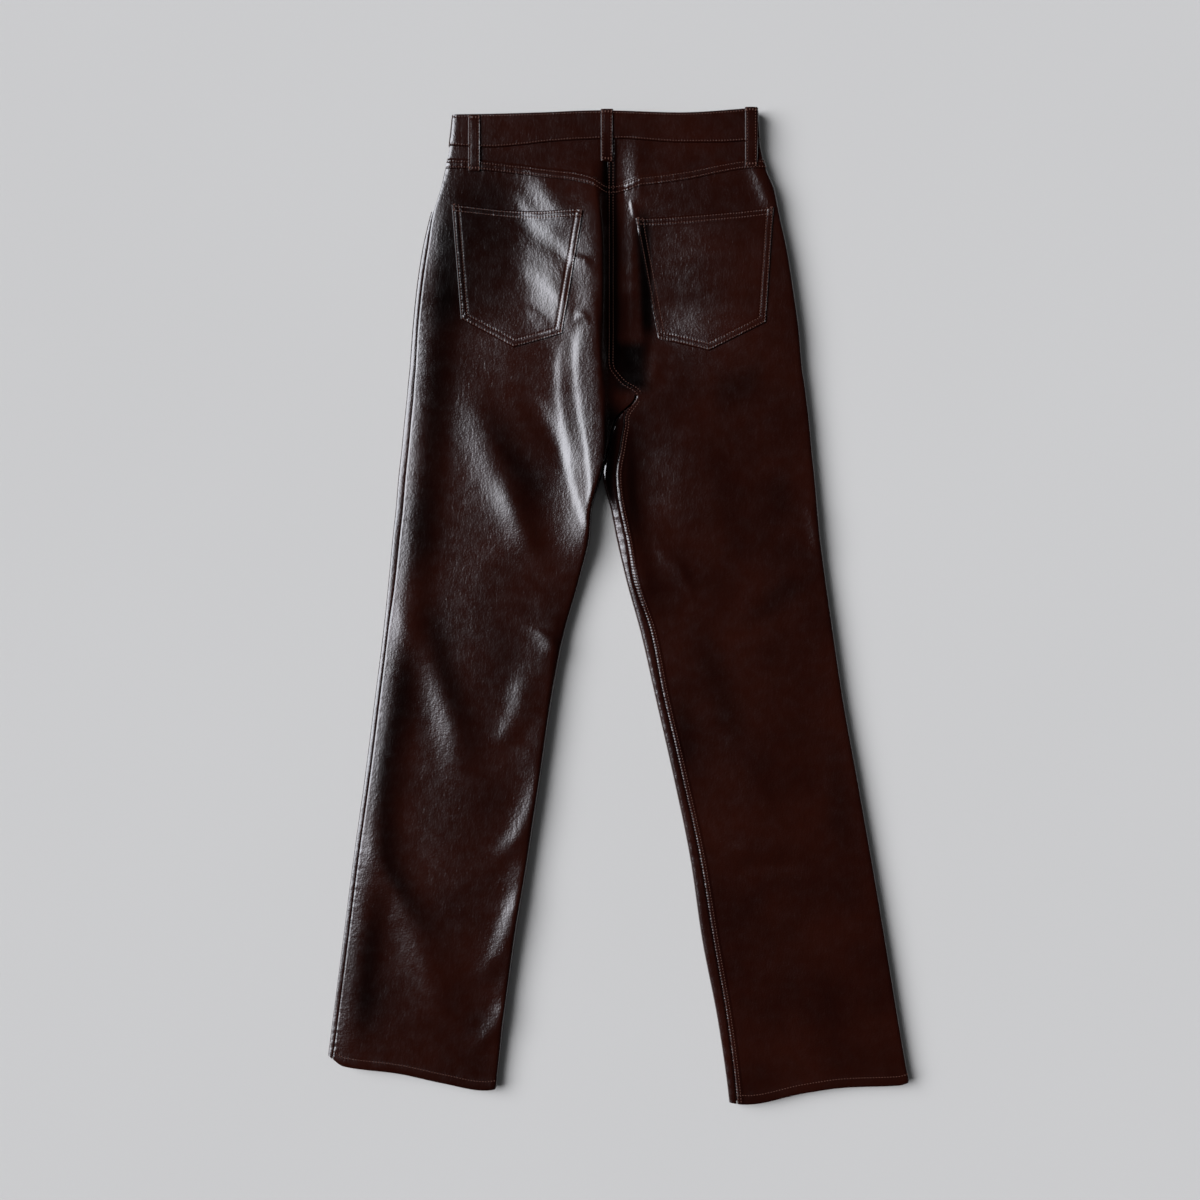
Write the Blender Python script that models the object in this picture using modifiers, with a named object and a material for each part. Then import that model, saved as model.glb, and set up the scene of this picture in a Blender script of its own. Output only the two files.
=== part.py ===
"""Leather trousers, lying back side up: cut panels, yokes, waistband, belt loops, pockets and fly as thin walls.

Sizes are in millimetres and are turned to metres where a mesh is made. X runs across the garment, Y from the hems
to the waist and Z up from the surface it lies on. "down" is the distance below the waist's highest point.
"""

import math

import bmesh
import bpy
import numpy as np
from mathutils import Matrix, Vector

MM = 0.001
GARMENT_LENGTH = 1067.3
TOP_Y = GARMENT_LENGTH / 2
PANEL_WALL = 1.4
POCKET_WALL = 1.3
FACING_WALL = 1.2
BAND_WALL = 3.0
LOOP_WALL = 2.0
FLY_WALL = 1.2
ZIP_WALL = 1.6
SEAM_HALF = 0.15
ROLLED_SEAM_HALF = 0.5
LAY_GAP = 0.4

# The top of the crotch, where all four panels meet, and the fork, where the legs part.
CROTCH_DOWN = 308.7
FORK_DOWN = 394.3
FRONT_SEAM_X = -12.0
FRONT_SWING_STARTS = 240.0

# Each long edge is a rolled fold: a quarter ellipse on top and a smaller one beneath.
ROLL_TOP = 9.0
ROLL_UNDER = 6.0
ROLL_TOP_PATH = 12.0
ROLL_UNDER_PATH = 8.0
CROTCH_ROLL = 3.0
CROTCH_EDGE = 2.0
FORK_EDGE = 5.5
CROTCH_REACH = 60.0
CROTCH_CROWDING = 0.65

# The left inseam passes from the leg's edge to beneath it, and the right one from the edge to the top.
UNDER_STARTS = 345.0
UNDER_RUN = 75.0
INSEAM_RISE = 34.0

# The front of the waist lies on its button and loops, and comes down to the floor below them.
WAIST_LIFT = 2.4
LIFT_ENDS = 66.0
LIFT_RAMP = 40.0

# Panels start and end on these nominal lines, and their first and last rows bend to the real seams.
YOKE_LINE = 66.0
WAIST_LINE = 38.5
HEM_LINE = 1043.0
YOKE_BEND = 62.0
WAIST_BEND = 22.0
HEM_BEND = 80.0

# inner_left and inner_right: the centre back seam above the crotch, and the legs' inner edges below it.
# side_seam: how far the left side seam lies in from its edge. inseam: the same for the right leg's inseam.
# top: height of the cloth over the floor. edge: height of the outermost point of the rolled side edges.
SECTION_COLUMNS = ("down", "outer_left", "outer_right", "inner_left", "inner_right",
                   "side_seam", "inseam", "top", "edge")
SECTIONS = (
    (0.0, -177.1, 148.5, -12.0, -12.0, 0.5, 0.0, 16.0, 9.3),
    (42.0, -181.8, 152.2, -12.0, -12.0, 0.6, 0.0, 16.5, 9.3),
    (67.0, -187.0, 158.6, -12.0, -12.0, 1.0, 0.0, 16.5, 9.1),
    (88.0, -193.0, 167.2, -12.0, -12.0, 2.0, 0.0, 16.5, 9.0),
    (113.0, -201.4, 172.1, -12.0, -12.0, 3.0, 0.0, 16.5, 8.8),
    (152.0, -210.5, 180.6, -12.0, -12.0, 6.0, 0.0, 16.5, 8.8),
    (195.0, -216.9, 187.5, -12.0, -12.0, 6.4, 0.0, 16.5, 8.6),
    (238.0, -221.2, 193.4, -12.0, -12.0, 6.2, 0.0, 16.5, 8.4),
    (281.0, -224.4, 197.1, -12.4, -12.4, 6.8, 0.0, 16.0, 8.4),
    (297.0, -226.1, 199.7, 2.4, 2.4, 7.0, 0.0, 15.5, 8.2),
    (308.7, -227.1, 201.2, 18.5, 18.5, 7.2, 2.0, 15.0, 8.2),
    (334.0, -229.8, 204.3, -2.9, -2.9, 7.4, 10.5, 15.0, 7.8),
    (366.0, -233.0, 207.3, -11.0, -11.0, 7.7, 12.5, 15.0, 7.4),
    (394.3, -236.2, 210.3, -17.9, -17.3, 7.9, 14.5, 15.0, 7.2),
    (431.0, -239.4, 213.7, -27.9, -8.6, 8.0, 10.0, 15.0, 7.0),
    (460.0, -242.6, 216.4, -30.2, -2.9, 7.8, 10.5, 14.5, 6.8),
    (506.0, -246.9, 222.3, -41.5, 7.8, 7.3, 7.5, 14.5, 6.7),
    (562.0, -252.8, 230.3, -57.2, 23.2, 4.5, 11.0, 14.5, 6.7),
    (634.0, -261.9, 241.0, -70.9, 39.6, 4.0, 9.0, 14.0, 6.7),
    (720.0, -272.9, 256.5, -83.7, 59.1, 3.5, 9.5, 14.0, 6.7),
    (805.0, -284.8, 271.5, -96.6, 76.5, 3.0, 10.5, 13.5, 6.7),
    (891.0, -295.8, 286.0, -110.5, 89.1, 3.2, 12.0, 13.5, 6.7),
    (976.0, -306.8, 299.9, -122.2, 105.6, 4.5, 10.0, 13.0, 6.7),
    (1044.0, -315.4, 311.6, -130.3, 115.8, 6.5, 8.5, 12.5, 6.5),
    (1067.3, -318.6, 315.9, -133.5, 118.5, 6.5, 8.0, 12.5, 6.5),
)

# Seams and edges that run across, as x and the distance down.
WAIST_TOP = ((-177.1, 8.0), (-142.0, 7.5), (-84.3, 5.9), (-20.0, 3.7), (65.5, 5.9), (129.7, 2.1), (149.0, 0.0))
WAIST_SEAM = ((-182.0, 41.7), (-138.0, 43.9), (-106.0, 41.7), (-79.0, 38.5), (-41.5, 35.8), (3.5, 34.4),
              (23.0, 35.8), (65.5, 38.5), (108.0, 38.5), (135.0, 36.9), (152.0, 34.8))
YOKE_SEAM = ((-187.0, 66.0), (-162.4, 66.7), (-137.8, 68.9), (-105.7, 72.6), (-79.0, 76.4), (-52.0, 79.6),
             (-31.0, 84.5), (-12.0, 93.0), (10.0, 88.1), (23.0, 83.9), (44.0, 81.7), (76.0, 77.4),
             (108.0, 71.0), (135.0, 66.8), (158.0, 66.0))
HEM_LEFT = ((-311.6, 1015.0), (-294.0, 1026.7), (-237.0, 1034.2), (-187.0, 1044.9), (-144.0, 1052.3),
            (-130.0, 1051.3))
HEM_RIGHT = ((118.0, 1065.2), (137.2, 1067.3), (197.0, 1055.6), (244.0, 1049.1), (299.0, 1047.0),
             (311.6, 1043.8))

# Folds: a ridge (height above 0) or a trough along its route of x and distance down, its width to each side,
# how crisp its top is, and the share of its route over which each end fades out.
FOLD_COLUMNS = ("name", "route", "height", "width_left", "width_right", "crispness", "taper")
FOLDS = (
    ("left edge fall", ((-183.8, 2.7), (-208.4, 131.1), (-222.3, 227.4), (-230.9, 334.4),
     (-241.6, 484.2), (-261.9, 634.0), (-289.7, 848.0), (-313.2, 1035.2)), -3.6, 12.0, 14.0, 2.0, 0.1),
    ("centre seam channel", ((-8.3, 34.8), (-8.3, 165.3), (-8.3, 259.5)), -5.5, 12.0, 34.0, 2.0, 0.35),
    ("seat lobe's shaded side", ((25.9, 104.3), (34.5, 173.9), (33.4, 254.1)), -4.0, 12.0, 32.0, 2.0, 0.35),
    ("crotch hollow", ((2.0, 223.1), (13.0, 300.1), (24.0, 371.8)), -8.5, 16.0, 32.0, 2.0, 0.35),
    ("yoke bump", ((22.7, 26.2), (19.5, 114.0)), 1.7, 11.0, 8.0, 2.0, 0.35),
    ("seat crest", ((-43.6, 45.5), (-37.2, 165.3), (-32.9, 283.0)), 10.5, 42.0, 13.0, 1.7, 0.35),
    ("under seat crest", ((-32.9, 195.3), (-21.1, 323.7), (-20.1, 366.5), (-26.5, 409.3),
     (-36.1, 484.2)), 8.5, 27.0, 8.0, 1.5, 0.3),
    ("thigh trough", ((-105.7, 291.6), (-70.4, 355.8), (-52.2, 401.8)), -2.5, 14.0, 12.0, 2.0, 0.35),
    ("thigh s upper", ((-167.7, 238.1), (-148.5, 345.1), (-133.5, 379.3),
     (-114.2, 430.7)), 2.4, 13.0, 14.0, 2.0, 0.35),
    ("thigh s lower", ((-129.2, 387.9), (-112.1, 430.7), (-77.8, 510.9)), 3.6, 12.0, 10.0, 2.0, 0.35),
    ("knee hook", ((-97.1, 552.7), (-75.7, 567.6), (-59.7, 593.9)), 2.0, 8.0, 7.0, 2.0, 0.35),
    ("knee length", ((-62.9, 505.6), (-78.9, 569.8), (-88.5, 655.4),
     (-91.8, 773.1)), 5.0, 24.0, 9.0, 2.0, 0.35),
    ("inner length", ((-84.3, 698.2), (-105.7, 874.7), (-127.1, 1062.0)), 5.2, 22.0, 9.0, 2.0, 0.35),
    ("outer knee", ((-225.5, 553.7), (-195.5, 634.0), (-163.4, 706.7)), 3.0, 11.0, 14.0, 2.0, 0.35),
    ("outer shin", ((-259.7, 757.0), (-231.9, 853.3), (-183.8, 960.3)), 3.4, 12.0, 14.0, 2.0, 0.35),
    ("shin crease one", ((-83.2, 708.9), (-95.0, 753.8), (-115.3, 794.5)), 1.8, 6.0, 6.0, 2.0, 0.35),
    ("shin crease two", ((-93.4, 821.2), (-112.1, 880.1), (-146.3, 933.6)), 1.8, 6.0, 6.0, 2.0, 0.35),
    ("shin crease three", ((-111.3, 944.3), (-127.1, 975.3), (-154.9, 997.8)), 1.8, 6.0, 6.0, 2.0, 0.35),
    ("right hip", ((142.6, 54.0), (168.3, 122.5)), 2.2, 8.0, 9.0, 2.0, 0.35),
    ("right inner thigh", ((12.0, 322.1), (19.0, 463.8)), -2.5, 9.0, 14.0, 2.0, 0.35),
    ("right knee", ((33.4, 469.9), (61.3, 490.6), (84.8, 520.0)), 1.6, 8.0, 9.0, 2.0, 0.35),
    ("right calf trough", ((112.0, 812.0), (204.0, 813.7)), -1.5, 7.0, 7.0, 2.0, 0.35),
    ("right calf", ((111.5, 790.2), (189.7, 795.0)), 1.5, 10.0, 10.0, 2.0, 0.35),
    ("right outer thigh", ((202.5, 412.0), (218.5, 491.7)), 1.8, 8.0, 9.0, 2.0, 0.35),
)
LOWEST_TOP = 4.2

# A point's distance down depends on its x, and its x on that, so each point is worked out this many times.
SETTLE_STEPS = 4

# Nominal rows of the panels, closer together where the cloth is more shaped.
YOKE_ROWS = (0.0, 0.36, 0.7, 1.0)
WAIST_ROWS = (38.5, 46.0, 55.0)
PANEL_ROWS = (66.0, 75.0, 86.0, 99.0, 112.0, 127.0, 143.0, 160.0, 178.0, 196.0, 214.0, 231.0, 247.0, 261.0, 273.0,
              283.0, 292.0, 300.5, 308.7, 318.0, 328.0, 340.0, 353.0, 367.0, 381.0, 394.3, 411.0, 431.0, 452.0,
              476.0, 502.0, 530.0, 560.0, 592.0, 627.0, 664.0, 702.0, 741.0, 780.0, 819.0, 858.0, 896.0, 932.0,
              964.0, 992.0, 1018.0, 1043.0)

# Columns of each panel: distances from its outer seam, shares of what lies between, distances from its inner seam.
BACK_LEFT_COLUMNS = ((0.0, 3.0, 8.0), (0.1, 0.2, 0.3, 0.4, 0.5, 0.6, 0.7, 0.8, 0.9),
                     (24.0, 18.0, 13.5, 9.0, 5.0, 1.6, 0.0))
BACK_RIGHT_COLUMNS = ((0.0, 2.0, 6.0, 10.0, 14.0, 18.0, 22.5), (0.2, 0.4, 0.6, 0.8), (31.0, 23.0, 15.0, 9.0, 4.5, 0.0))
FRONT_LEFT_COLUMNS = ((0.0, 4.0, 8.0, 12.0, 16.5), (0.33, 0.67), (7.0, 1.6, 0.0))
FRONT_RIGHT_COLUMNS = ((0.0,), (0.33, 0.67), (22.0, 18.0, 14.0, 10.0, 5.0, 0.0))

# Patch pockets: five corners each, x and distance down, and how far they stand off the panel.
POCKET_LEFT = ((-178.4, 104.3), (-37.7, 114.0), (-60.2, 243.4), (-112.6, 257.3), (-168.8, 226.8))
POCKET_RIGHT = ((17.9, 117.7), (165.6, 107.5), (157.0, 230.6), (96.6, 260.5), (42.7, 246.6))

STEEPEST = 0.05

# Belt loops on the back: middle x at the waist top, top and bottom distance down. The right one rounds the edge.
LOOP_WIDTH = 13.2
LOOP_COLUMNS = 5
LOOP_ROWS = 8
LOOP_STAND = 0.6
BACK_LOOPS = {
    "loop_back_left": ("left", -154.1, 9.0, 69.0),
    "loop_back_centre": ("right", -12.6, 2.7, 58.3),
    "loop_back_right": ("right", 141.4, 0.6, 64.5),
}
FRONT_LOOPS = {"loop_front_left": -108.0, "loop_front_right": 84.0}
FRONT_LOOP_TOP = 6.5
FRONT_LOOP_BOTTOM = 64.0

# Scooped front pocket openings, and the facing behind each.
SCOOP_WIDTH = 85.0
SCOOP_DEPTH = 73.0
SCOOP_SIDES = 56
CUTTER_HEIGHT = 80.0
FACING_WIDTH = 112.0
FACING_TOP = 41.0
FACING_ENDS = 130.0
FACING_SHARES = (0.25, 0.5, 0.75)

ZIP_TOP = 46.0
ZIP_BOTTOM = 186.0
ZIP_WIDTH = 5.0
SLIDER_WIDTH = 8.0
SLIDER_LENGTH = 12.0
SLIDER_HEIGHT = 2.6
SLIDER_ABOVE = 1.0
FLY_WIDTH = 42.0
FLY_SHIFT = 4.0
FLY_TOP = 43.0
FLY_BOTTOM = 196.0
BUTTON_RADIUS = 8.5
BUTTON_HEIGHT = 2.0
BUTTON_DOWN = 22.0
BUTTON_SIDES = 28
BUTTON_RIM = 0.4
FLY_STEPS = 9

BAND_COLUMNS = 12
BAND_ROLL_SHARES = (0.0, 0.33, 0.67, 1.0)


def columns_of(names, rows):
    """The table's columns by name."""
    return dict(zip(names, np.array(rows, float).T))


SECTION = columns_of(SECTION_COLUMNS, SECTIONS)
FOLD = [dict(zip(FOLD_COLUMNS, row)) for row in FOLDS]


def smooth_through(xs, ys, x):
    """A smooth curve through the points, which never swings past them."""
    xs = np.asarray(xs, float)
    ys = np.asarray(ys, float)
    steps = np.diff(xs)
    slopes = np.diff(ys) / steps
    product = slopes[:-1] * slopes[1:]
    total = np.where(product > 0, slopes[:-1] + slopes[1:], 1.0)
    inner = np.where(product > 0, 2 * product / total, 0.0)
    tangents = np.concatenate([slopes[:1], inner, slopes[-1:]])
    i = int(np.clip(np.searchsorted(xs, x) - 1, 0, len(steps) - 1))
    t = float(np.clip((x - xs[i]) / steps[i], 0, 1))
    h = steps[i]
    return float(ys[i] * (2 * t**3 - 3 * t**2 + 1) + tangents[i] * h * (t**3 - 2 * t**2 + t)
                 + ys[i + 1] * (3 * t**2 - 2 * t**3) + tangents[i + 1] * h * (t**3 - t**2))


def section_value(name, down):
    return smooth_through(SECTION["down"], SECTION[name], down)


def across(seam, x):
    """Distance down of a seam that runs across, at x."""
    return smooth_through([point[0] for point in seam], [point[1] for point in seam], x)


def ease(share):
    share = min(max(share, 0.0), 1.0)
    return share * share * (3 - 2 * share)


def fold_relief(x, down):
    """How much the folds raise or sink the cloth here."""
    total = 0.0
    for fold in FOLD:
        route = fold["route"]
        run_x = route[-1][0] - route[0][0]
        run_down = route[-1][1] - route[0][1]
        along_axis, aside_axis = (1, 0) if abs(run_down) >= abs(run_x) else (0, 1)
        route = sorted(route, key=lambda point: point[along_axis])
        along_at = (x, down)[along_axis]
        first, last = route[0], route[-1]
        along = (along_at - first[along_axis]) / (last[along_axis] - first[along_axis])
        if not 0 < along < 1:
            continue
        middle = smooth_through([point[along_axis] for point in route], [point[aside_axis] for point in route],
                                along_at)
        lean = (last[aside_axis] - first[aside_axis]) / (last[along_axis] - first[along_axis])
        aside = ((x, down)[aside_axis] - middle) / math.hypot(1.0, lean)
        width = fold["width_left"] if aside < 0 else fold["width_right"]
        ends = ease(along / fold["taper"]) * ease((1 - along) / fold["taper"])
        total += fold["height"] * ends * math.exp(-abs(aside / width) ** fold["crispness"])
    return total


def cloth_top(x, down):
    """Height of the cloth's upper face away from its rolled edges."""
    height = section_value("top", down) + fold_relief(x, down)
    return LOWEST_TOP + math.log1p(math.exp(min(height - LOWEST_TOP, 30.0)))


def floor_lift(down):
    return WAIST_LIFT * (1 - ease((down - LIFT_ENDS) / LIFT_RAMP))


def rolled(distance, radius):
    """0 at the edge's outermost point, and 1 from one radius inward."""
    share = min(max(distance / radius, 0.0), 1.0)
    return math.sqrt(1 - (1 - share) ** 2)


def turned(way, path):
    """How far in a point lies, this way along a roll's path: a share of the roll's radius."""
    return 1 - math.cos(way / path * math.pi / 2)


class Half:
    """The left or right half of the garment: its outer edge, and its inner one at the centre seam or inside leg."""

    def __init__(self, name):
        self.name = name
        self.inward = 1.0 if name == "left" else -1.0

    def outer(self, down):
        return section_value("outer_" + self.name, down)

    def inner(self, down):
        clearance = 2 * SEAM_HALF if down > CROTCH_DOWN else 0.0
        return section_value("inner_" + self.name, down) - self.inward * clearance

    def in_leg(self, down):
        return down > CROTCH_DOWN + 0.01

    def leg_roll(self, down):
        """How full the inner leg edge is: small at the crotch, whole at the fork."""
        grown = ease((down - CROTCH_DOWN) / (FORK_DOWN - CROTCH_DOWN))
        return CROTCH_ROLL / ROLL_TOP + (1 - CROTCH_ROLL / ROLL_TOP) * grown

    def inner_edge_height(self, down):
        return CROTCH_EDGE + (FORK_EDGE - CROTCH_EDGE) * ease((down - CROTCH_DOWN) / (FORK_DOWN - CROTCH_DOWN))

    def top_length(self, down):
        """Way over the top from the outermost point to the inner edge."""
        width = abs(self.inner(down) - self.outer(down))
        length = ROLL_TOP_PATH + width - ROLL_TOP
        if self.in_leg(down):
            length += (ROLL_TOP_PATH - ROLL_TOP) * self.leg_roll(down)
        return length

    def under_length(self, down):
        """Way beneath from the outermost point to the front seam or the inner edge."""
        if not self.in_leg(down):
            return ROLL_UNDER_PATH + abs(self.front_seam(down) - self.outer(down)) - ROLL_UNDER
        width = abs(self.inner(down) - self.outer(down))
        return (ROLL_UNDER_PATH - ROLL_UNDER) * (1 + self.leg_roll(down)) + width

    def front_seam(self, down):
        swing = ease((down - FRONT_SWING_STARTS) / (CROTCH_DOWN - FRONT_SWING_STARTS))
        return FRONT_SEAM_X + (section_value("inner_left", CROTCH_DOWN) - FRONT_SEAM_X) * swing

    def outer_seam(self, down):
        """Place of the side seam: its way over the top from the outermost point, below 0 where it lies beneath."""
        if self.name == "right":
            return -(ROLL_UNDER_PATH + 2.0)
        inset = section_value("side_seam", down)
        return math.acos(1 - min(inset / ROLL_TOP, 1.0)) / (math.pi / 2) * ROLL_TOP_PATH

    def inner_seam(self, down):
        """The same for the inseam, from the inner edge."""
        if self.name == "left":
            return -ROLL_UNDER_PATH * self.leg_roll(down) * ease((down - UNDER_STARTS) / UNDER_RUN)
        inset = section_value("inseam", down) * ease((down - CROTCH_DOWN) / INSEAM_RISE)
        radius = ROLL_TOP * self.leg_roll(down)
        path = ROLL_TOP_PATH * self.leg_roll(down)
        if inset >= radius:
            return path + inset - radius
        return math.acos(1 - inset / radius) / (math.pi / 2) * path

    def over(self, down, way):
        """(x, z) of the outer face, this way over the top from the outermost point."""
        length = self.top_length(down)
        if way < 0:
            return self.under(down, -way)
        if self.in_leg(down) and way > length:
            return self.under(down, self.under_length(down) - (way - length))
        outer = self.outer(down)
        inner = self.inner(down)
        roll = self.leg_roll(down)
        if way < ROLL_TOP_PATH:
            x = outer + self.inward * ROLL_TOP * turned(way, ROLL_TOP_PATH)
        elif self.in_leg(down) and length - way < ROLL_TOP_PATH * roll:
            x = inner - self.inward * ROLL_TOP * roll * turned(length - way, ROLL_TOP_PATH * roll)
        else:
            x = outer + self.inward * (way - ROLL_TOP_PATH + ROLL_TOP)
        edge = section_value("edge", down)
        z = edge + (cloth_top(x, down) - edge) * rolled(abs(x - outer), ROLL_TOP)
        if self.in_leg(down):
            inner_edge = self.inner_edge_height(down)
            z = inner_edge + (z - inner_edge) * rolled(abs(x - inner), ROLL_TOP * roll)
        return x, z

    def under(self, down, way):
        """(x, z) of the outer face, this way beneath from the outermost point."""
        length = self.under_length(down)
        if way < 0:
            return self.over(down, -way)
        if self.in_leg(down) and way > length:
            return self.over(down, self.top_length(down) - (way - length))
        outer = self.outer(down)
        inner = self.inner(down)
        roll = self.leg_roll(down)
        if way < ROLL_UNDER_PATH:
            x = outer + self.inward * ROLL_UNDER * turned(way, ROLL_UNDER_PATH)
        elif self.in_leg(down) and length - way < ROLL_UNDER_PATH * roll:
            x = inner - self.inward * ROLL_UNDER * roll * turned(length - way, ROLL_UNDER_PATH * roll)
        else:
            x = outer + self.inward * (way - ROLL_UNDER_PATH + ROLL_UNDER)
        lift = floor_lift(down)
        z = lift + (section_value("edge", down) - lift) * (1 - rolled(abs(x - outer), ROLL_UNDER))
        if self.in_leg(down):
            z += self.inner_edge_height(down) * (1 - rolled(abs(x - inner), ROLL_UNDER * roll))
        return x, z

    def hem(self, x):
        return across(HEM_LEFT if self.name == "left" else HEM_RIGHT, x)


LEFT = Half("left")
RIGHT = Half("right")


def crotch_nearness(down):
    """1 at the crotch, falling to 0 well above it and at the fork."""
    if down < CROTCH_DOWN:
        return ease(1 - (CROTCH_DOWN - down) / CROTCH_REACH)
    return 1 - ease((down - CROTCH_DOWN) / (FORK_DOWN - CROTCH_DOWN))


def ways_between(start, end, columns, down):
    """Places of a row's points between its two seams, as the columns say, drawn closer near the crotch."""
    near, shares, far = columns
    far = [distance * (1 - CROTCH_CROWDING * crotch_nearness(down)) for distance in far]
    first = start + near[-1]
    last = end - far[0]
    middle = [first + (last - first) * share for share in shares]
    return [start + distance for distance in near] + middle + [end - distance for distance in far]


def back_row(half, down_at, columns):
    """Points of one row of the back, from the side seam over the top to the centre seam or inseam."""
    points = []
    for number in range(sum(len(part) for part in columns)):
        down = down_at(half.outer(0.0))
        for _ in range(SETTLE_STEPS):
            gap = ROLLED_SEAM_HALF if half.name == "left" else SEAM_HALF
            start = half.outer_seam(down) + gap
            end = half.top_length(down) - SEAM_HALF * (1 + crotch_nearness(down))
            if half.in_leg(down):
                end = half.top_length(down) - half.inner_seam(down) - ROLLED_SEAM_HALF
            x, z = half.over(down, ways_between(start, end, columns, down)[number])
            down = down_at(x)
        points.append((x, TOP_Y - down, z))
    return points


def front_row(half, down_at, columns):
    """Points of one row of the front, from the side seam beneath to the front seam or inseam."""
    points = []
    for number in range(sum(len(part) for part in columns)):
        down = down_at(half.outer(0.0))
        for _ in range(SETTLE_STEPS):
            gap = ROLLED_SEAM_HALF if half.name == "left" else SEAM_HALF
            start = -half.outer_seam(down) + gap
            end = half.under_length(down) - SEAM_HALF * (1 + crotch_nearness(down))
            if half.in_leg(down):
                end = half.under_length(down) + half.inner_seam(down) - ROLLED_SEAM_HALF
            x, z = half.under(down, ways_between(start, end, columns, down)[number])
            down = down_at(x)
        points.append((x, TOP_Y - down, z))
    return points


def panel_down(half, nominal, top_seam, top_line, bend):
    """The real distance down of a nominal row, as a function of x."""
    def at(x):
        down = nominal
        down += (across(top_seam, x) + SEAM_HALF - top_line) * (1 - ease((nominal - top_line) / bend))
        down += (half.hem(x) - HEM_LINE) * ease((nominal - HEM_LINE + HEM_BEND) / HEM_BEND)
        return down
    return at


def surface(name, rows, upward):
    """An open surface through the rows of points, in triangles, with its outer face up or down."""
    mesh = bpy.data.meshes.new(name)
    shape = bmesh.new()
    grid = [[shape.verts.new([value * MM for value in point]) for point in row] for row in rows]
    for upper, lower in zip(grid[:-1], grid[1:]):
        for i in range(len(upper) - 1):
            shape.faces.new((upper[i], lower[i], lower[i + 1], upper[i + 1]))
    shape.normal_update()
    lean = sum(face.normal.z * face.calc_area() for face in shape.faces)
    if (lean > 0) != upward:
        bmesh.ops.reverse_faces(shape, faces=shape.faces[:])
    bmesh.ops.triangulate(shape, faces=shape.faces[:])
    shape.to_mesh(mesh)
    shape.free()
    return mesh


PARTS = bpy.data.collections.new("leather_trousers")
CUTTERS = bpy.data.collections.new("cutters")


def leather(name, tint=1.0):
    """Smooth coated leather, dark oxblood."""
    material = bpy.data.materials.new(name)
    material.use_nodes = True
    shader = material.node_tree.nodes["Principled BSDF"]
    shader.inputs["Base Color"].default_value = (0.020 * tint, 0.007 * tint, 0.006 * tint, 1.0)
    shader.inputs["Roughness"].default_value = 0.34
    shader.inputs["Metallic"].default_value = 0.0
    return material


def metal(name):
    """Dark nickel of the button and zip."""
    material = bpy.data.materials.new(name)
    material.use_nodes = True
    shader = material.node_tree.nodes["Principled BSDF"]
    shader.inputs["Base Color"].default_value = (0.22, 0.20, 0.18, 1.0)
    shader.inputs["Roughness"].default_value = 0.30
    shader.inputs["Metallic"].default_value = 1.0
    return material


def piece(name, mesh, material, wall=0.0, outward=False):
    """A named part. A wall above 0 makes its open surface a shell, inward unless told otherwise."""
    mesh.materials.append(material)
    mesh.shade_smooth()
    mesh.set_sharp_from_angle(angle=math.radians(40))
    part = bpy.data.objects.new(name, mesh)
    PARTS.objects.link(part)
    if wall > 0:
        shell = part.modifiers.new("wall", "SOLIDIFY")
        shell.thickness = wall * MM
        shell.offset = 1.0 if outward else -1.0
        shell.use_even_offset = False
    return part


def raised(mesh, distance):
    """Moves an open surface along its own normals."""
    shape = bmesh.new()
    shape.from_mesh(mesh)
    shape.normal_update()
    normals = [vertex.normal.copy() for vertex in shape.verts]
    for vertex, normal in zip(shape.verts, normals):
        vertex.co += normal * distance * MM
    shape.to_mesh(mesh)
    shape.free()
    return mesh


def make_backs():
    """Back panels, from the yoke seams to the hems."""
    for half, columns in ((LEFT, BACK_LEFT_COLUMNS), (RIGHT, BACK_RIGHT_COLUMNS)):
        rows = []
        for nominal in PANEL_ROWS:
            rows.append(back_row(half, panel_down(half, nominal, YOKE_SEAM, YOKE_LINE, YOKE_BEND), columns))
        name = "back_" + half.name
        piece(name, surface(name, rows, upward=True), leather(name), PANEL_WALL)


def make_yokes():
    """Back yokes, between the waistband and the back panels."""
    for half, columns in ((LEFT, BACK_LEFT_COLUMNS), (RIGHT, BACK_RIGHT_COLUMNS)):
        rows = []
        for share in YOKE_ROWS:
            def down_at(x, share=share):
                upper = across(WAIST_SEAM, x) + SEAM_HALF
                return upper + (across(YOKE_SEAM, x) - SEAM_HALF - upper) * share
            rows.append(back_row(half, down_at, columns))
        name = "yoke_" + half.name
        piece(name, surface(name, rows, upward=True), leather(name, 1.1), PANEL_WALL)


def scoop_cutter(half):
    """An upright elliptic cutter over a front panel's outer top corner."""
    mesh = bpy.data.meshes.new("scoop_" + half.name)
    shape = bmesh.new()
    bmesh.ops.create_cone(shape, cap_ends=True, segments=SCOOP_SIDES, radius1=1.0, radius2=1.0, depth=1.0)
    place = Matrix.Translation(Vector((half.outer(WAIST_LINE), TOP_Y - WAIST_LINE, 0.0)) * MM)
    size = Matrix.Diagonal((SCOOP_WIDTH * MM, SCOOP_DEPTH * MM, CUTTER_HEIGHT * MM, 1.0))
    bmesh.ops.transform(shape, verts=shape.verts[:], matrix=place @ size)
    shape.to_mesh(mesh)
    shape.free()
    cutter = bpy.data.objects.new("scoop_" + half.name, mesh)
    cutter.display_type = "WIRE"
    cutter.hide_render = True
    CUTTERS.objects.link(cutter)
    return cutter


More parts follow.
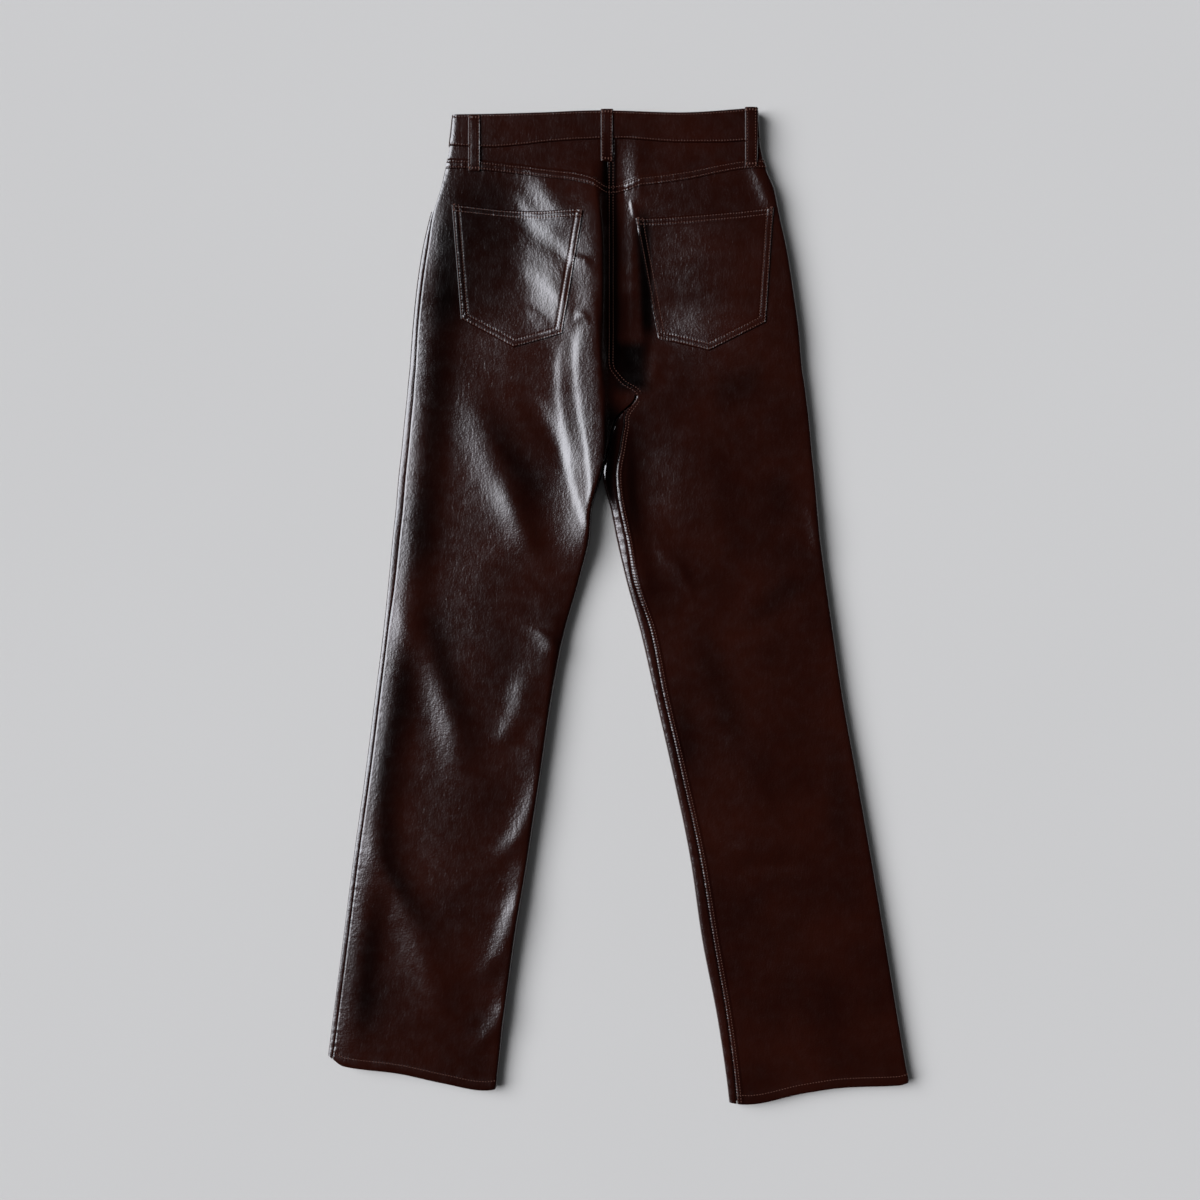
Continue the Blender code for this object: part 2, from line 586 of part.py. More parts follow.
def make_fronts():
    """Front panels, beneath, with the scooped pocket opening cut from each outer corner."""
    for half, columns in ((LEFT, FRONT_LEFT_COLUMNS), (RIGHT, FRONT_RIGHT_COLUMNS)):
        rows = []
        for nominal in WAIST_ROWS + PANEL_ROWS:
            rows.append(front_row(half, panel_down(half, nominal, WAIST_SEAM, WAIST_LINE, WAIST_BEND), columns))
        name = "front_" + half.name
        front = piece(name, surface(name, rows, upward=False), leather(name), PANEL_WALL)
        opening = front.modifiers.new("pocket_opening", "BOOLEAN")
        opening.object = scoop_cutter(half)
        opening.operation = "DIFFERENCE"


def make_facings():
    """The piece behind each front pocket opening: it lies inside the front panel and reaches past the opening."""
    for half in (LEFT, RIGHT):
        rows = []
        for nominal in [FACING_TOP, *WAIST_ROWS[1:], *(row for row in PANEL_ROWS if row < FACING_ENDS)]:
            down_at = panel_down(half, nominal, WAIST_SEAM, WAIST_LINE, WAIST_BEND)
            near = FRONT_LEFT_COLUMNS[0] if half.name == "left" else (0.0,)
            columns = (near, FACING_SHARES, (0.0,))
            points = []
            for number in range(sum(len(part) for part in columns)):
                down = nominal
                for _ in range(SETTLE_STEPS):
                    start = -half.outer_seam(down) + ROLLED_SEAM_HALF
                    ways = ways_between(start, start + FACING_WIDTH, columns, down)
                    x, z = half.under(down, ways[number])
                    down = down_at(x)
                points.append((x, TOP_Y - down, z))
            rows.append(points)
        name = "pocket_facing_" + half.name
        mesh = raised(surface(name, rows, upward=False), -(PANEL_WALL + LAY_GAP))
        piece(name, mesh, leather(name, 0.9), FACING_WALL)


def waist_ring(down_at):
    """One closed row of points round the waist: over the back from the left edge, and back beneath the front."""
    last = BAND_COLUMNS - 1
    stations = [(LEFT, "over", number) for number in range(BAND_COLUMNS)]
    stations += [(RIGHT, "over", last - number) for number in range(1, BAND_COLUMNS)]
    stations += [(RIGHT, "under", number) for number in range(1, BAND_COLUMNS)]
    stations += [(LEFT, "under", last - number) for number in range(1, last)]
    points = []
    for half, side, number in stations:
        down = down_at(half.outer(0.0))
        for _ in range(SETTLE_STEPS):
            length = half.top_length(down) if side == "over" else half.under_length(down)
            path = ROLL_TOP_PATH if side == "over" else ROLL_UNDER_PATH
            ways = [path * share for share in BAND_ROLL_SHARES]
            rest = BAND_COLUMNS - len(ways)
            ways += [path + (length - path) * (i + 1) / rest for i in range(rest)]
            x, z = half.over(down, ways[number]) if side == "over" else half.under(down, ways[number])
            down = down_at(x)
        points.append((x, TOP_Y - down, z))
    return points


def make_waistband():
    """One band round the waist, closed at the centre front."""
    rings = []
    for share in (0.0, 0.5, 1.0):
        def down_at(x, share=share):
            upper = across(WAIST_TOP, x)
            return upper + (across(WAIST_SEAM, x) - SEAM_HALF - upper) * share
        ring = waist_ring(down_at)
        rings.append(ring + ring[:1])
    mesh = surface("waistband", rings, upward=True)
    shape = bmesh.new()
    shape.from_mesh(mesh)
    bmesh.ops.remove_doubles(shape, verts=shape.verts[:], dist=0.00005)
    bmesh.ops.recalc_face_normals(shape, faces=shape.faces[:])
    highest = max(shape.faces, key=lambda face: face.calc_center_median().z)
    if highest.normal.z < 0:
        bmesh.ops.reverse_faces(shape, faces=shape.faces[:])
    shape.to_mesh(mesh)
    shape.free()
    piece("waistband", mesh, leather("waistband", 1.2), BAND_WALL)


def make_loops():
    """Belt loops, each sewn on over the waistband, two of them beneath."""
    for name, (side, middle, top, bottom) in BACK_LOOPS.items():
        half = LEFT if side == "left" else RIGHT
        rows = []
        for i in range(LOOP_ROWS):
            down = top + (bottom - top) * i / (LOOP_ROWS - 1)
            centre = abs(middle - half.outer(down)) - ROLL_TOP + ROLL_TOP_PATH
            ways = [centre + LOOP_WIDTH * (j / (LOOP_COLUMNS - 1) - 0.5) for j in range(LOOP_COLUMNS)]
            rows.append([(x, TOP_Y - down, z) for x, z in (half.over(down, way) for way in ways)])
        mesh = raised(surface(name, rows, upward=True), LOOP_STAND)
        piece(name, mesh, leather(name, 1.2), LOOP_WALL, outward=True)
    for name, middle in FRONT_LOOPS.items():
        ends = (middle - LOOP_WIDTH / 2, middle + LOOP_WIDTH / 2)
        height = WAIST_LIFT - LAY_GAP
        rows = [[(x, TOP_Y - down, height) for x in ends] for down in (FRONT_LOOP_TOP, FRONT_LOOP_BOTTOM)]
        piece(name, surface(name, rows, upward=True), leather(name, 1.2), height)


def make_pockets():
    """Patch pockets: the part of the back panel inside five straight edges, moved out and given a wall."""
    for half, corners in ((LEFT, POCKET_LEFT), (RIGHT, POCKET_RIGHT)):
        name = "pocket_back_" + half.name
        mesh = bpy.data.objects["back_" + half.name].data.copy()
        mesh.name = name
        mesh.materials.clear()
        shape = bmesh.new()
        shape.from_mesh(mesh)
        shape.normal_update()
        steep = [face for face in shape.faces if face.normal.z < STEEPEST]
        bmesh.ops.delete(shape, geom=steep, context="FACES")
        for (ax, a_down), (bx, b_down) in zip(corners, corners[1:] + corners[:1]):
            start = Vector((ax, TOP_Y - a_down, 0.0)) * MM
            run = Vector((bx - ax, a_down - b_down, 0.0))
            outside = Vector((-run.y, run.x, 0.0)).normalized()
            bmesh.ops.bisect_plane(shape, geom=shape.verts[:] + shape.edges[:] + shape.faces[:],
                                   plane_co=start, plane_no=outside, clear_outer=True)
        bmesh.ops.remove_doubles(shape, verts=shape.verts[:], dist=0.0001)
        shape.to_mesh(mesh)
        shape.free()
        piece(name, raised(mesh, LAY_GAP), leather(name, 1.05), POCKET_WALL, outward=True)


def inner_strip(name, middle_shift, width, top, bottom, height):
    """An open strip over the front's inner face along the front seam, at this height over the outer face."""
    rows = []
    for i in range(FLY_STEPS + 1):
        down = top + (bottom - top) * i / FLY_STEPS
        middle = LEFT.front_seam(down) + middle_shift
        z = floor_lift(down) + height
        rows.append([(middle + width * share, TOP_Y - down, z) for share in (-0.5, 0.5)])
    return surface(name, rows, upward=True)


def make_fly():
    """The closed zip, and the shield that lies behind it."""
    zip_base = PANEL_WALL + LAY_GAP
    chain = piece("zip", inner_strip("zip", 0.0, ZIP_WIDTH, ZIP_TOP, ZIP_BOTTOM, zip_base), metal("zip"),
                  ZIP_WALL, outward=True)
    shield_base = zip_base + SLIDER_HEIGHT + LAY_GAP
    piece("fly_shield", inner_strip("fly_shield", FLY_SHIFT, FLY_WIDTH, FLY_TOP, FLY_BOTTOM, shield_base),
          leather("fly_shield"), FLY_WALL, outward=True)
    mesh = bpy.data.meshes.new("slider")
    shape = bmesh.new()
    bmesh.ops.create_cube(shape, size=1.0)
    size = Matrix.Diagonal((SLIDER_WIDTH * MM, SLIDER_LENGTH * MM, SLIDER_HEIGHT * MM, 1.0))
    middle = (LEFT.front_seam(ZIP_TOP) * MM, (TOP_Y - ZIP_TOP - SLIDER_LENGTH / 2 + SLIDER_ABOVE) * MM,
              (WAIST_LIFT + zip_base + SLIDER_HEIGHT / 2) * MM)
    bmesh.ops.transform(shape, verts=shape.verts[:], matrix=Matrix.Translation(middle) @ size)
    shape.to_mesh(mesh)
    shape.free()
    slider = bpy.data.objects.new("slider", mesh)
    slider.display_type = "WIRE"
    slider.hide_render = True
    CUTTERS.objects.link(slider)
    joined = chain.modifiers.new("slider", "BOOLEAN")
    joined.object = slider
    joined.operation = "UNION"


def make_button():
    """The waist button, beneath the band at the centre front."""
    mesh = bpy.data.meshes.new("waist_button")
    shape = bmesh.new()
    bmesh.ops.create_cone(shape, cap_ends=True, segments=BUTTON_SIDES, radius1=BUTTON_RADIUS * MM,
                          radius2=BUTTON_RADIUS * MM, depth=BUTTON_HEIGHT * MM)
    shape.to_mesh(mesh)
    shape.free()
    button = piece("waist_button", mesh, metal("waist_button"))
    button.location = (FRONT_SEAM_X * MM, (TOP_Y - BUTTON_DOWN) * MM, BUTTON_HEIGHT / 2 * MM)
    rim = button.modifiers.new("rim", "BEVEL")
    rim.width = BUTTON_RIM * MM
    rim.segments = 2
    rim.limit_method = "ANGLE"


def main():
    for old in list(bpy.data.objects):
        bpy.data.objects.remove(old, do_unlink=True)
    bpy.context.scene.collection.children.link(PARTS)
    bpy.context.scene.collection.children.link(CUTTERS)
    CUTTERS.hide_render = True
    make_backs()
    make_yokes()
    make_fronts()
    make_facings()
    make_waistband()
    make_loops()
    make_pockets()
    make_fly()
    make_button()


main()
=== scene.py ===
import math

import bpy
import numpy as np
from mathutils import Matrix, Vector
from mathutils.bvhtree import BVHTree


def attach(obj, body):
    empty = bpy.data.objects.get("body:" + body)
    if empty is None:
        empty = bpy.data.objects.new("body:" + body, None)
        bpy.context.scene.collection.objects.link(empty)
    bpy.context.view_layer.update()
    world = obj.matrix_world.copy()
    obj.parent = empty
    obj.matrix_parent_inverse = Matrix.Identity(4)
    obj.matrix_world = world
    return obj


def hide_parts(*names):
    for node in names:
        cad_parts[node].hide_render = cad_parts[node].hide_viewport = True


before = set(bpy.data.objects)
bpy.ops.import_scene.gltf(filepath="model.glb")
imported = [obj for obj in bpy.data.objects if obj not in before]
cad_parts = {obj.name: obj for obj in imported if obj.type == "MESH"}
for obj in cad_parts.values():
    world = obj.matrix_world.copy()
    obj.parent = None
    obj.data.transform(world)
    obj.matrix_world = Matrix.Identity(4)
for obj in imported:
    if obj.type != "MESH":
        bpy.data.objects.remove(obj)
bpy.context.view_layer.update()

# --------------------------------------------------------------------------- back panels
# The two back panels are the main form: 1.2 mm cow leather with a glossy finish, cut from the yoke seam to the hem
# and sewn to each other down the centre back. They lie on the front panels, rolled over at the long edges, and
# fall into folds round the seat, the crotch and down the left leg.
MM = 0.001
GARMENT_LENGTH = 1067.3
TOP_Y = GARMENT_LENGTH / 2
PANEL_WALL = 1.2
SEAM_HALF = 0.15
ROLLED_SEAM_HALF = 0.35
CROTCH_DOWN = 308.7
FORK_DOWN = 394.3
ROLL_TOP = 9.0
ROLL_UNDER = 6.0
ROLL_TOP_PATH = 12.0
ROLL_UNDER_PATH = 8.0
CROTCH_ROLL = 2.0
YOKE_LINE = 66.0
HEM_LINE = 1043.0
CENTRE_X = -12.0
CROTCH_X = 18.5
SEAM_SWING_DOWN = 240.0
WAIST_LIFT = 2.4
WAIST_LIFT_FADE = 40.0
LEG_ROLL_BELOW = 45.0
FORK_EDGE = 2.0
LEG_EDGE_RISE = 5.0
SIDE_SEAM_BENEATH = 2.0
INSEAM_UNDER_DOWN = 345.0
INSEAM_UNDER_FADE = 75.0
INSEAM_OVER_FADE = 34.0

# Distances in mm below the waist's highest point, and across from the middle of the footprint.
SECTION_COLUMNS = ("down", "outer_left", "outer_right", "inner_left", "inner_right",
                   "side_seam", "inseam", "top", "edge")
SECTIONS = (
    (0.0, -177.1, 148.5, -12.0, -12.0, 0.5, 0.0, 16.0, 10.3),
    (42.0, -181.8, 152.2, -12.0, -12.0, 0.6, 0.0, 16.5, 10.3),
    (67.0, -187.0, 158.6, -12.0, -12.0, 1.0, 0.0, 16.5, 10.1),
    (88.0, -193.0, 167.2, -12.0, -12.0, 2.0, 0.0, 16.5, 10.0),
    (113.0, -201.4, 172.1, -12.0, -12.0, 3.0, 0.0, 16.5, 9.8),
    (152.0, -210.5, 180.6, -12.0, -12.0, 6.0, 0.0, 16.5, 9.8),
    (195.0, -216.9, 187.5, -12.0, -12.0, 6.4, 0.0, 16.5, 9.6),
    (238.0, -221.2, 193.4, -12.0, -12.0, 6.2, 0.0, 16.5, 9.4),
    (272.0, -223.7, 196.3, -12.2, -12.2, 6.6, 0.0, 16.0, 9.4),
    (281.0, -224.4, 197.1, -10.6, -10.6, 6.8, 0.0, 16.0, 9.4),
    (288.0, -225.2, 198.3, -5.6, -5.6, 6.9, 0.0, 15.8, 9.3),
    (297.0, -226.1, 199.7, 2.4, 2.4, 7.0, 0.0, 15.5, 9.2),
    (308.7, -227.1, 201.2, 18.5, 18.5, 7.2, 2.0, 15.0, 9.2),
    (334.0, -229.8, 204.3, -2.9, -2.9, 7.4, 10.5, 15.0, 8.8),
    (366.0, -233.0, 207.3, -11.0, -11.0, 7.7, 12.5, 15.0, 8.4),
    (394.3, -236.2, 210.3, -17.9, -17.3, 7.9, 14.5, 15.0, 8.2),
    (431.0, -239.4, 213.7, -27.9, -8.6, 8.0, 10.0, 15.0, 8.0),
    (460.0, -242.6, 216.4, -30.2, -2.9, 7.8, 10.5, 14.5, 7.8),
    (506.0, -246.9, 222.3, -41.5, 7.8, 7.3, 7.5, 14.5, 7.7),
    (562.0, -252.8, 230.3, -57.2, 23.2, 5.4, 11.0, 14.5, 7.7),
    (634.0, -261.9, 241.0, -70.9, 39.6, 5.6, 9.0, 14.0, 7.7),
    (720.0, -272.9, 256.5, -83.7, 59.1, 5.7, 9.5, 14.0, 7.7),
    (805.0, -284.8, 271.5, -96.6, 76.5, 5.6, 10.5, 13.5, 7.7),
    (891.0, -295.8, 286.0, -110.5, 89.1, 5.7, 12.0, 13.5, 7.7),
    (976.0, -306.8, 299.9, -122.2, 105.6, 5.8, 10.0, 13.0, 7.7),
    (1044.0, -315.4, 311.6, -130.3, 115.8, 5.6, 8.5, 12.5, 7.5),
    (1067.3, -318.6, 315.9, -133.5, 118.5, 6.5, 8.0, 12.5, 7.5),
)
SECTION = dict(zip(SECTION_COLUMNS, np.array(SECTIONS).T))
YOKE_SEAM = ((-187.0, 66.0), (-162.4, 66.7), (-137.8, 68.9), (-105.7, 72.6), (-79.0, 76.4), (-52.0, 79.6),
             (-31.0, 84.5), (-12.0, 93.0), (10.0, 88.1), (23.0, 83.9), (44.0, 81.7), (76.0, 77.4),
             (108.0, 71.0), (135.0, 66.8), (158.0, 66.0))
HEM = {
    "left": ((-311.6, 1015.0), (-294.0, 1026.7), (-237.0, 1034.2), (-187.0, 1044.9), (-144.0, 1052.3),
             (-130.0, 1051.3)),
    "right": ((118.0, 1065.2), (137.2, 1067.3), (197.0, 1055.6), (244.0, 1049.1), (299.0, 1047.0),
              (311.6, 1043.8)),
}
# A fold has a route of points across and down, a height (below 0 it is a trough), a reach to its left and to its
# right, a squareness, and the share of its length over which each end fades.
FOLD_COLUMNS = ("name", "route", "height", "left", "right", "square", "fade")
FOLDS = (
    ("left edge fall", ((-219.1, 152.5), (-225.5, 227.4), (-233.0, 334.4), (-243.7, 484.2), (-264.0, 634.0),
     (-291.8, 848.0), (-319.7, 1062.0)), -3.6, 12.0, 17.0, 2.0, 0.12),
    ("hip edge fall", ((-193.4, -13.4), (-203.0, 61.5), (-211.6, 131.1),
     (-222.3, 216.7)), -3.0, 12.0, 18.0, 2.0, 0.3),
    ("seat dip", ((-116.4, 122.5), (-78.9, 146.1), (-39.3, 171.7)), -0.8, 8.0, 9.0, 2.0, 0.35),
    ("seat wrinkle one", ((-120.6, 79.7), (-84.3, 122.5), (-47.9, 150.3)), 0.6, 9.0, 7.0, 2.0, 0.35),
    ("seat wrinkle two", ((-114.2, 165.3), (-78.9, 186.7), (-50.0, 218.8)), 0.6, 10.0, 7.0, 2.0, 0.35),
    ("seat wrinkle three", ((-105.7, 206.0), (-82.1, 229.5), (-60.7, 261.6)), 0.5, 9.0, 6.0, 2.0, 0.35),
    ("seat valley", ((5.6, 45.5), (9.9, 165.3), (14.2, 283.0)), -5.0, 18.0, 70.0, 2.0, 0.25),
    ("centre seam channel", ((-9.4, 18.7), (-8.3, 165.3), (-7.2, 283.0)), -3.5, 7.0, 26.0, 2.0, 0.2),
    ("seat lobe", ((11.0, 99.0), (11.0, 179.2), (11.0, 261.6)), 0.7, 8.0, 7.0, 4.0, 0.25),
    ("seat lobe's shaded side", ((30.2, 99.0), (35.6, 184.6), (37.7, 283.0)), -3.5, 9.0, 60.0, 2.0, 0.25),
    ("crotch hollow", ((15.2, 189.9), (17.4, 248.8), (18.5, 304.4)), -5.0, 22.0, 70.0, 2.0, 0.3),
    ("pit rim", ((38.8, 243.4), (38.8, 275.5), (34.5, 293.7), (23.8, 306.6)), 0.7, 4.0, 8.0, 2.0, 0.3),
    ("yoke bump", ((22.7, 21.9), (19.5, 61.5), (20.6, 114.0)), 1.0, 11.0, 8.0, 2.0, 0.35),
    ("yoke fold", ((12.0, 94.7), (18.5, 122.5)), 0.6, 2.2, 3.0, 2.0, 0.35),
    ("seat hollow left", ((-116.4, 45.5), (-109.9, 141.8), (-97.1, 254.1)), -2.6, 50.0, 24.0, 2.0, 0.3),
    ("seat crest", ((-32.9, 45.5), (-17.9, 158.9), (-17.9, 283.0)), 12.0, 50.0, 10.0, 1.7, 0.35),
    ("seat ridge upper", ((-90.7, 56.2), (-67.1, 106.5), (-47.9, 147.1)), 1.4, 17.0, 15.0, 2.0, 0.3),
    ("seat ridge lower", ((-69.3, 158.9), (-58.6, 206.0), (-52.2, 254.1)), 1.2, 19.0, 10.0, 2.0, 0.3),
    ("seat crease", ((-56.4, 162.1), (-41.5, 165.3), (-26.5, 171.7)), 0.9, 4.0, 6.0, 2.0, 0.3),
    ("seat spot", ((-50.0, 229.5), (-39.3, 225.2), (-28.6, 231.7)), 0.8, 5.0, 5.0, 2.0, 0.4),
    ("under seat crest", ((-26.5, 195.3), (-17.9, 313.0), (-15.8, 366.5), (-21.1, 420.0),
     (-26.5, 527.0)), 10.4, 34.0, 9.0, 1.6, 0.25),
    ("under seat left line", ((-59.7, 238.1), (-61.8, 296.9), (-56.4, 345.1), (-49.0, 392.2), (-30.8, 449.9),
     (-15.8, 484.2)), 1.0, 5.0, 18.0, 2.0, 0.2),
    ("under seat right line", ((-38.3, 216.7), (-43.6, 273.4), (-39.3, 321.5), (-31.8, 368.6), (-28.6, 405.0),
     (-28.6, 468.1)), 0.8, 4.0, 14.0, 2.0, 0.2),
    ("thigh trough", ((-105.7, 291.6), (-70.4, 355.8), (-52.2, 401.8)), -2.0, 14.0, 12.0, 2.0, 0.35),
    ("side hollow", ((-154.9, 131.1), (-163.4, 206.0), (-176.3, 334.4), (-191.3, 484.2), (-212.7, 634.0),
     (-240.5, 848.0), (-268.3, 1019.2)), -3.2, 21.0, 44.0, 2.0, 0.15),
    ("thigh s upper", ((-163.4, 259.5), (-154.9, 313.0), (-136.7, 366.5), (-114.2, 420.0), (-96.0, 468.1),
     (-71.4, 527.0)), 3.0, 24.0, 19.0, 2.0, 0.35),
    ("thigh s lower", ((-122.8, 385.7), (-107.8, 432.8), (-86.4, 494.9)), 2.0, 14.0, 12.0, 2.0, 0.35),
    ("knee hook", ((-97.1, 552.7), (-75.7, 567.6), (-59.7, 593.9)), 2.0, 8.0, 7.0, 2.0, 0.35),
    ("knee length", ((-62.9, 505.6), (-71.4, 569.8), (-78.9, 655.4), (-84.3, 773.1)), 3.2, 26.0, 9.0, 2.0, 0.35),
    ("knee streak", ((-99.2, 595.5), (-104.6, 634.0), (-114.2, 662.9), (-127.1, 693.9)), 1.9, 13.0, 14.0, 2.0, 0.3),
    ("inner length", ((-78.9, 698.2), (-101.4, 874.7), (-123.9, 1062.0)), 3.4, 22.0, 9.0, 2.0, 0.35),
    ("outer knee", ((-234.1, 516.3), (-207.3, 580.5), (-185.9, 634.0), (-172.0, 682.1),
     (-163.4, 741.0)), 3.0, 17.0, 17.0, 2.0, 0.35),
    ("outer shin", ((-264.0, 757.0), (-239.4, 831.9), (-218.0, 885.4), (-197.7, 938.9),
     (-182.7, 997.8)), 3.3, 16.0, 22.0, 2.0, 0.35),
    ("shin crease one", ((-74.6, 692.8), (-86.4, 738.8), (-101.4, 770.9), (-120.6, 797.7),
     (-148.5, 826.6)), 2.0, 12.0, 12.0, 2.0, 0.35),
    ("shin crease two", ((-95.0, 818.0), (-109.9, 858.7), (-120.6, 887.6), (-133.5, 915.4),
     (-150.6, 946.4)), 1.9, 12.0, 12.0, 2.0, 0.35),
    ("shin crease three", ((-112.1, 946.4), (-127.1, 978.5), (-141.0, 995.6),
     (-159.2, 1014.9)), 1.7, 11.0, 11.0, 2.0, 0.35),
    ("right hip", ((142.6, 54.0), (168.3, 122.5)), 2.2, 8.0, 9.0, 2.0, 0.35),
    ("right inseam ridge", ((5.6, 355.8), (0.3, 390.0), (3.5, 425.3), (14.2, 471.3),
     (38.8, 553.7)), 3.0, 8.0, 14.0, 2.0, 0.25),
    ("right inner thigh", ((16.3, 322.1), (20.6, 398.6), (24.9, 463.8)), -2.5, 9.0, 30.0, 2.0, 0.35),
    ("right knee", ((33.4, 469.9), (61.3, 490.6), (84.8, 520.0)), 1.6, 8.0, 9.0, 2.0, 0.35),
    ("right calf trough", ((112.0, 812.0), (204.0, 813.7)), -1.5, 7.0, 7.0, 2.0, 0.35),
    ("right calf", ((111.5, 790.2), (189.7, 795.0)), 1.5, 10.0, 10.0, 2.0, 0.35),
    ("right thigh swell", ((80.5, 313.0), (91.2, 398.6), (110.5, 500.2)), 1.6, 34.0, 26.0, 2.0, 0.4),
    ("right knee hollow", ((91.2, 539.8), (142.6, 524.8), (200.4, 531.3)), -1.3, 20.0, 24.0, 2.0, 0.35),
    ("right shin swell", ((127.6, 623.3), (142.6, 708.9), (164.0, 794.5)), 1.5, 32.0, 26.0, 2.0, 0.4),
    ("right shin hollow", ((200.4, 623.3), (217.5, 741.0), (238.9, 848.0)), -1.4, 26.0, 30.0, 2.0, 0.4),
    ("right hem swell", ((193.9, 880.1), (206.8, 955.0), (215.3, 1019.2)), 1.4, 30.0, 26.0, 2.0, 0.4),
    ("right outer thigh", ((202.5, 412.0), (218.5, 491.7)), 1.8, 8.0, 9.0, 2.0, 0.35),
)
# Painted shade: where the leather's colour is darkened to stand for the shade in the hollows, beside the folds and on
# the right leg; rows as above, with the darkness in place of the height.
PAINTED_SHADE = (
    ("beside the seat crest", ((-10.4, 18.7), (-10.4, 165.3), (-9.4, 291.6)), 1.0, 8.0, 9.0, 4.0, 0.12),
    ("beside the lobe", ((23.8, 99.0), (28.1, 184.6), (32.4, 259.5)), 1.0, 7.0, 9.0, 4.0, 0.2),
    ("crotch pit", ((14.2, 243.4), (14.2, 275.5), (15.2, 310.8)), 1.0, 22.0, 19.0, 4.0, 0.22),
    ("under the crotch", ((-1.9, 308.7), (-8.3, 345.1), (-12.6, 396.4), (-7.2, 441.4)), 0.95, 10.0, 10.0, 3.0, 0.2),
    ("beside the inseam", ((35.6, 302.3), (16.3, 345.1), (13.1, 409.3), (29.2, 505.6)), 0.6, 12.0, 20.0, 2.0, 0.4),
    ("seat's left part", ((-150.6, 45.5), (-146.3, 152.5), (-159.2, 254.1)), 0.55, 44.0, 40.0, 3.0, 0.25),
    ("left side band", ((-184.8, 77.6), (-191.3, 206.0), (-199.8, 334.4), (-208.4, 420.0),
     (-219.1, 527.0)), 0.65, 12.0, 22.0, 2.0, 0.15),
    ("outer knee's left lane", ((-223.4, 543.0), (-235.1, 634.0), (-251.2, 730.3), (-249.0, 794.5), (-225.5, 848.0),
     (-191.3, 901.5)), 0.7, 11.0, 16.0, 2.0, 0.2),
    ("outer shin's left lane", ((-257.6, 826.6), (-268.3, 912.2), (-274.7, 1019.2)), 0.65, 10.0, 16.0, 2.0, 0.35),
    ("thigh lane", ((-139.9, 302.3), (-124.9, 355.8), (-95.0, 403.9), (-75.7, 452.1)), 0.6, 14.0, 20.0, 2.0, 0.4),
    ("outer knee's right lane", ((-212.7, 489.5), (-194.5, 569.8), (-177.4, 634.0),
     (-150.6, 703.5)), 0.65, 12.0, 18.0, 2.0, 0.4),
    ("right thigh shade one", ((164.0, 261.6), (135.1, 296.9), (86.9, 315.1)), 0.4, 18.0, 18.0, 2.0, 0.4),
    ("right outer shade", ((168.3, 377.2), (175.7, 457.4)), 0.35, 18.0, 16.0, 2.0, 0.4),
    ("right knee shade", ((206.8, 486.3), (164.0, 529.1), (127.6, 569.8)), 0.4, 15.0, 16.0, 2.0, 0.4),
    ("right calf shade one", ((78.4, 532.3), (108.3, 623.3), (129.7, 708.9)), 0.45, 18.0, 20.0, 2.0, 0.4),
    ("right calf shade two", ((59.1, 612.6), (78.4, 724.9)), 0.4, 12.0, 14.0, 2.0, 0.4),
    ("right shin shade", ((232.5, 655.4), (234.6, 741.0), (247.4, 826.6)), 0.35, 16.0, 18.0, 2.0, 0.4),
)
LOWEST_TOP = 4.2


def smooth_through(xs, ys, x):
    """A smooth curve through the points, which never swings past them."""
    xs, ys, x = np.asarray(xs, float), np.asarray(ys, float), np.asarray(x, float)
    steps = np.diff(xs)
    slopes = np.diff(ys) / steps
    product = slopes[:-1] * slopes[1:]
    total = np.where(product > 0, slopes[:-1] + slopes[1:], 1.0)
    tangents = np.concatenate([slopes[:1], np.where(product > 0, 2 * product / total, 0.0), slopes[-1:]])
    i = np.clip(np.searchsorted(xs, x) - 1, 0, len(steps) - 1)
    t = np.clip((x - xs[i]) / steps[i], 0, 1)
    h = steps[i]
    return (ys[i] * (2 * t**3 - 3 * t**2 + 1) + tangents[i] * h * (t**3 - 2 * t**2 + t)
            + ys[i + 1] * (3 * t**2 - 2 * t**3) + tangents[i + 1] * h * (t**3 - t**2))


def section(name, down):
    """A named size of the garment's sections, at these distances down."""
    return smooth_through(SECTION["down"], SECTION[name], down)


def across(seam, x):
    """Distance down of a seam that runs across, at x."""
    points = np.array(seam)
    return smooth_through(points[:, 0], points[:, 1], x)


def ease(share):
    """0 to 1 with a soft start and a soft end."""
    share = np.clip(share, 0.0, 1.0)
    return share * share * (3 - 2 * share)


def fold_relief(x, down, folds=FOLDS):
    """How much the folds raise or sink the leather here."""
    total = np.zeros_like(x)
    for row in folds:
        fold = dict(zip(FOLD_COLUMNS, row))
        points = np.array(fold["route"], float)
        lengthwise = abs(points[-1, 1] - points[0, 1]) >= abs(points[-1, 0] - points[0, 0])
        along_axis, aside_axis = (1, 0) if lengthwise else (0, 1)
        points = points[np.argsort(points[:, along_axis])]
        at = down if lengthwise else x
        aside_at = x if lengthwise else down
        first, last = points[0, along_axis], points[-1, along_axis]
        middle = smooth_through(points[:, along_axis], points[:, aside_axis], at)
        lean = (points[-1, aside_axis] - points[0, aside_axis]) / (last - first)
        aside = (aside_at - middle) / math.hypot(1.0, lean)
        along = (at - first) / (last - first)
        reach = np.where(aside < 0, fold["left"], fold["right"])
        ends = ease(along / fold["fade"]) * ease((1 - along) / fold["fade"])
        total += fold["height"] * ends * np.exp(-np.abs(aside / reach) ** fold["square"])
    return total


def leather_top(x, down):
    """Height of the leather's upper face away from the rolled edges."""
    height = section("top", down) + fold_relief(x, down)
    return LOWEST_TOP + np.log1p(np.exp(np.minimum(height - LOWEST_TOP, 30.0)))


def rolled(distance, radius):
    """0 at the edge's outermost point, and 1 from one radius inward."""
    share = np.clip(distance / np.maximum(radius, 1e-6), 0.0, 1.0)
    return np.sqrt(1 - (1 - share) ** 2)


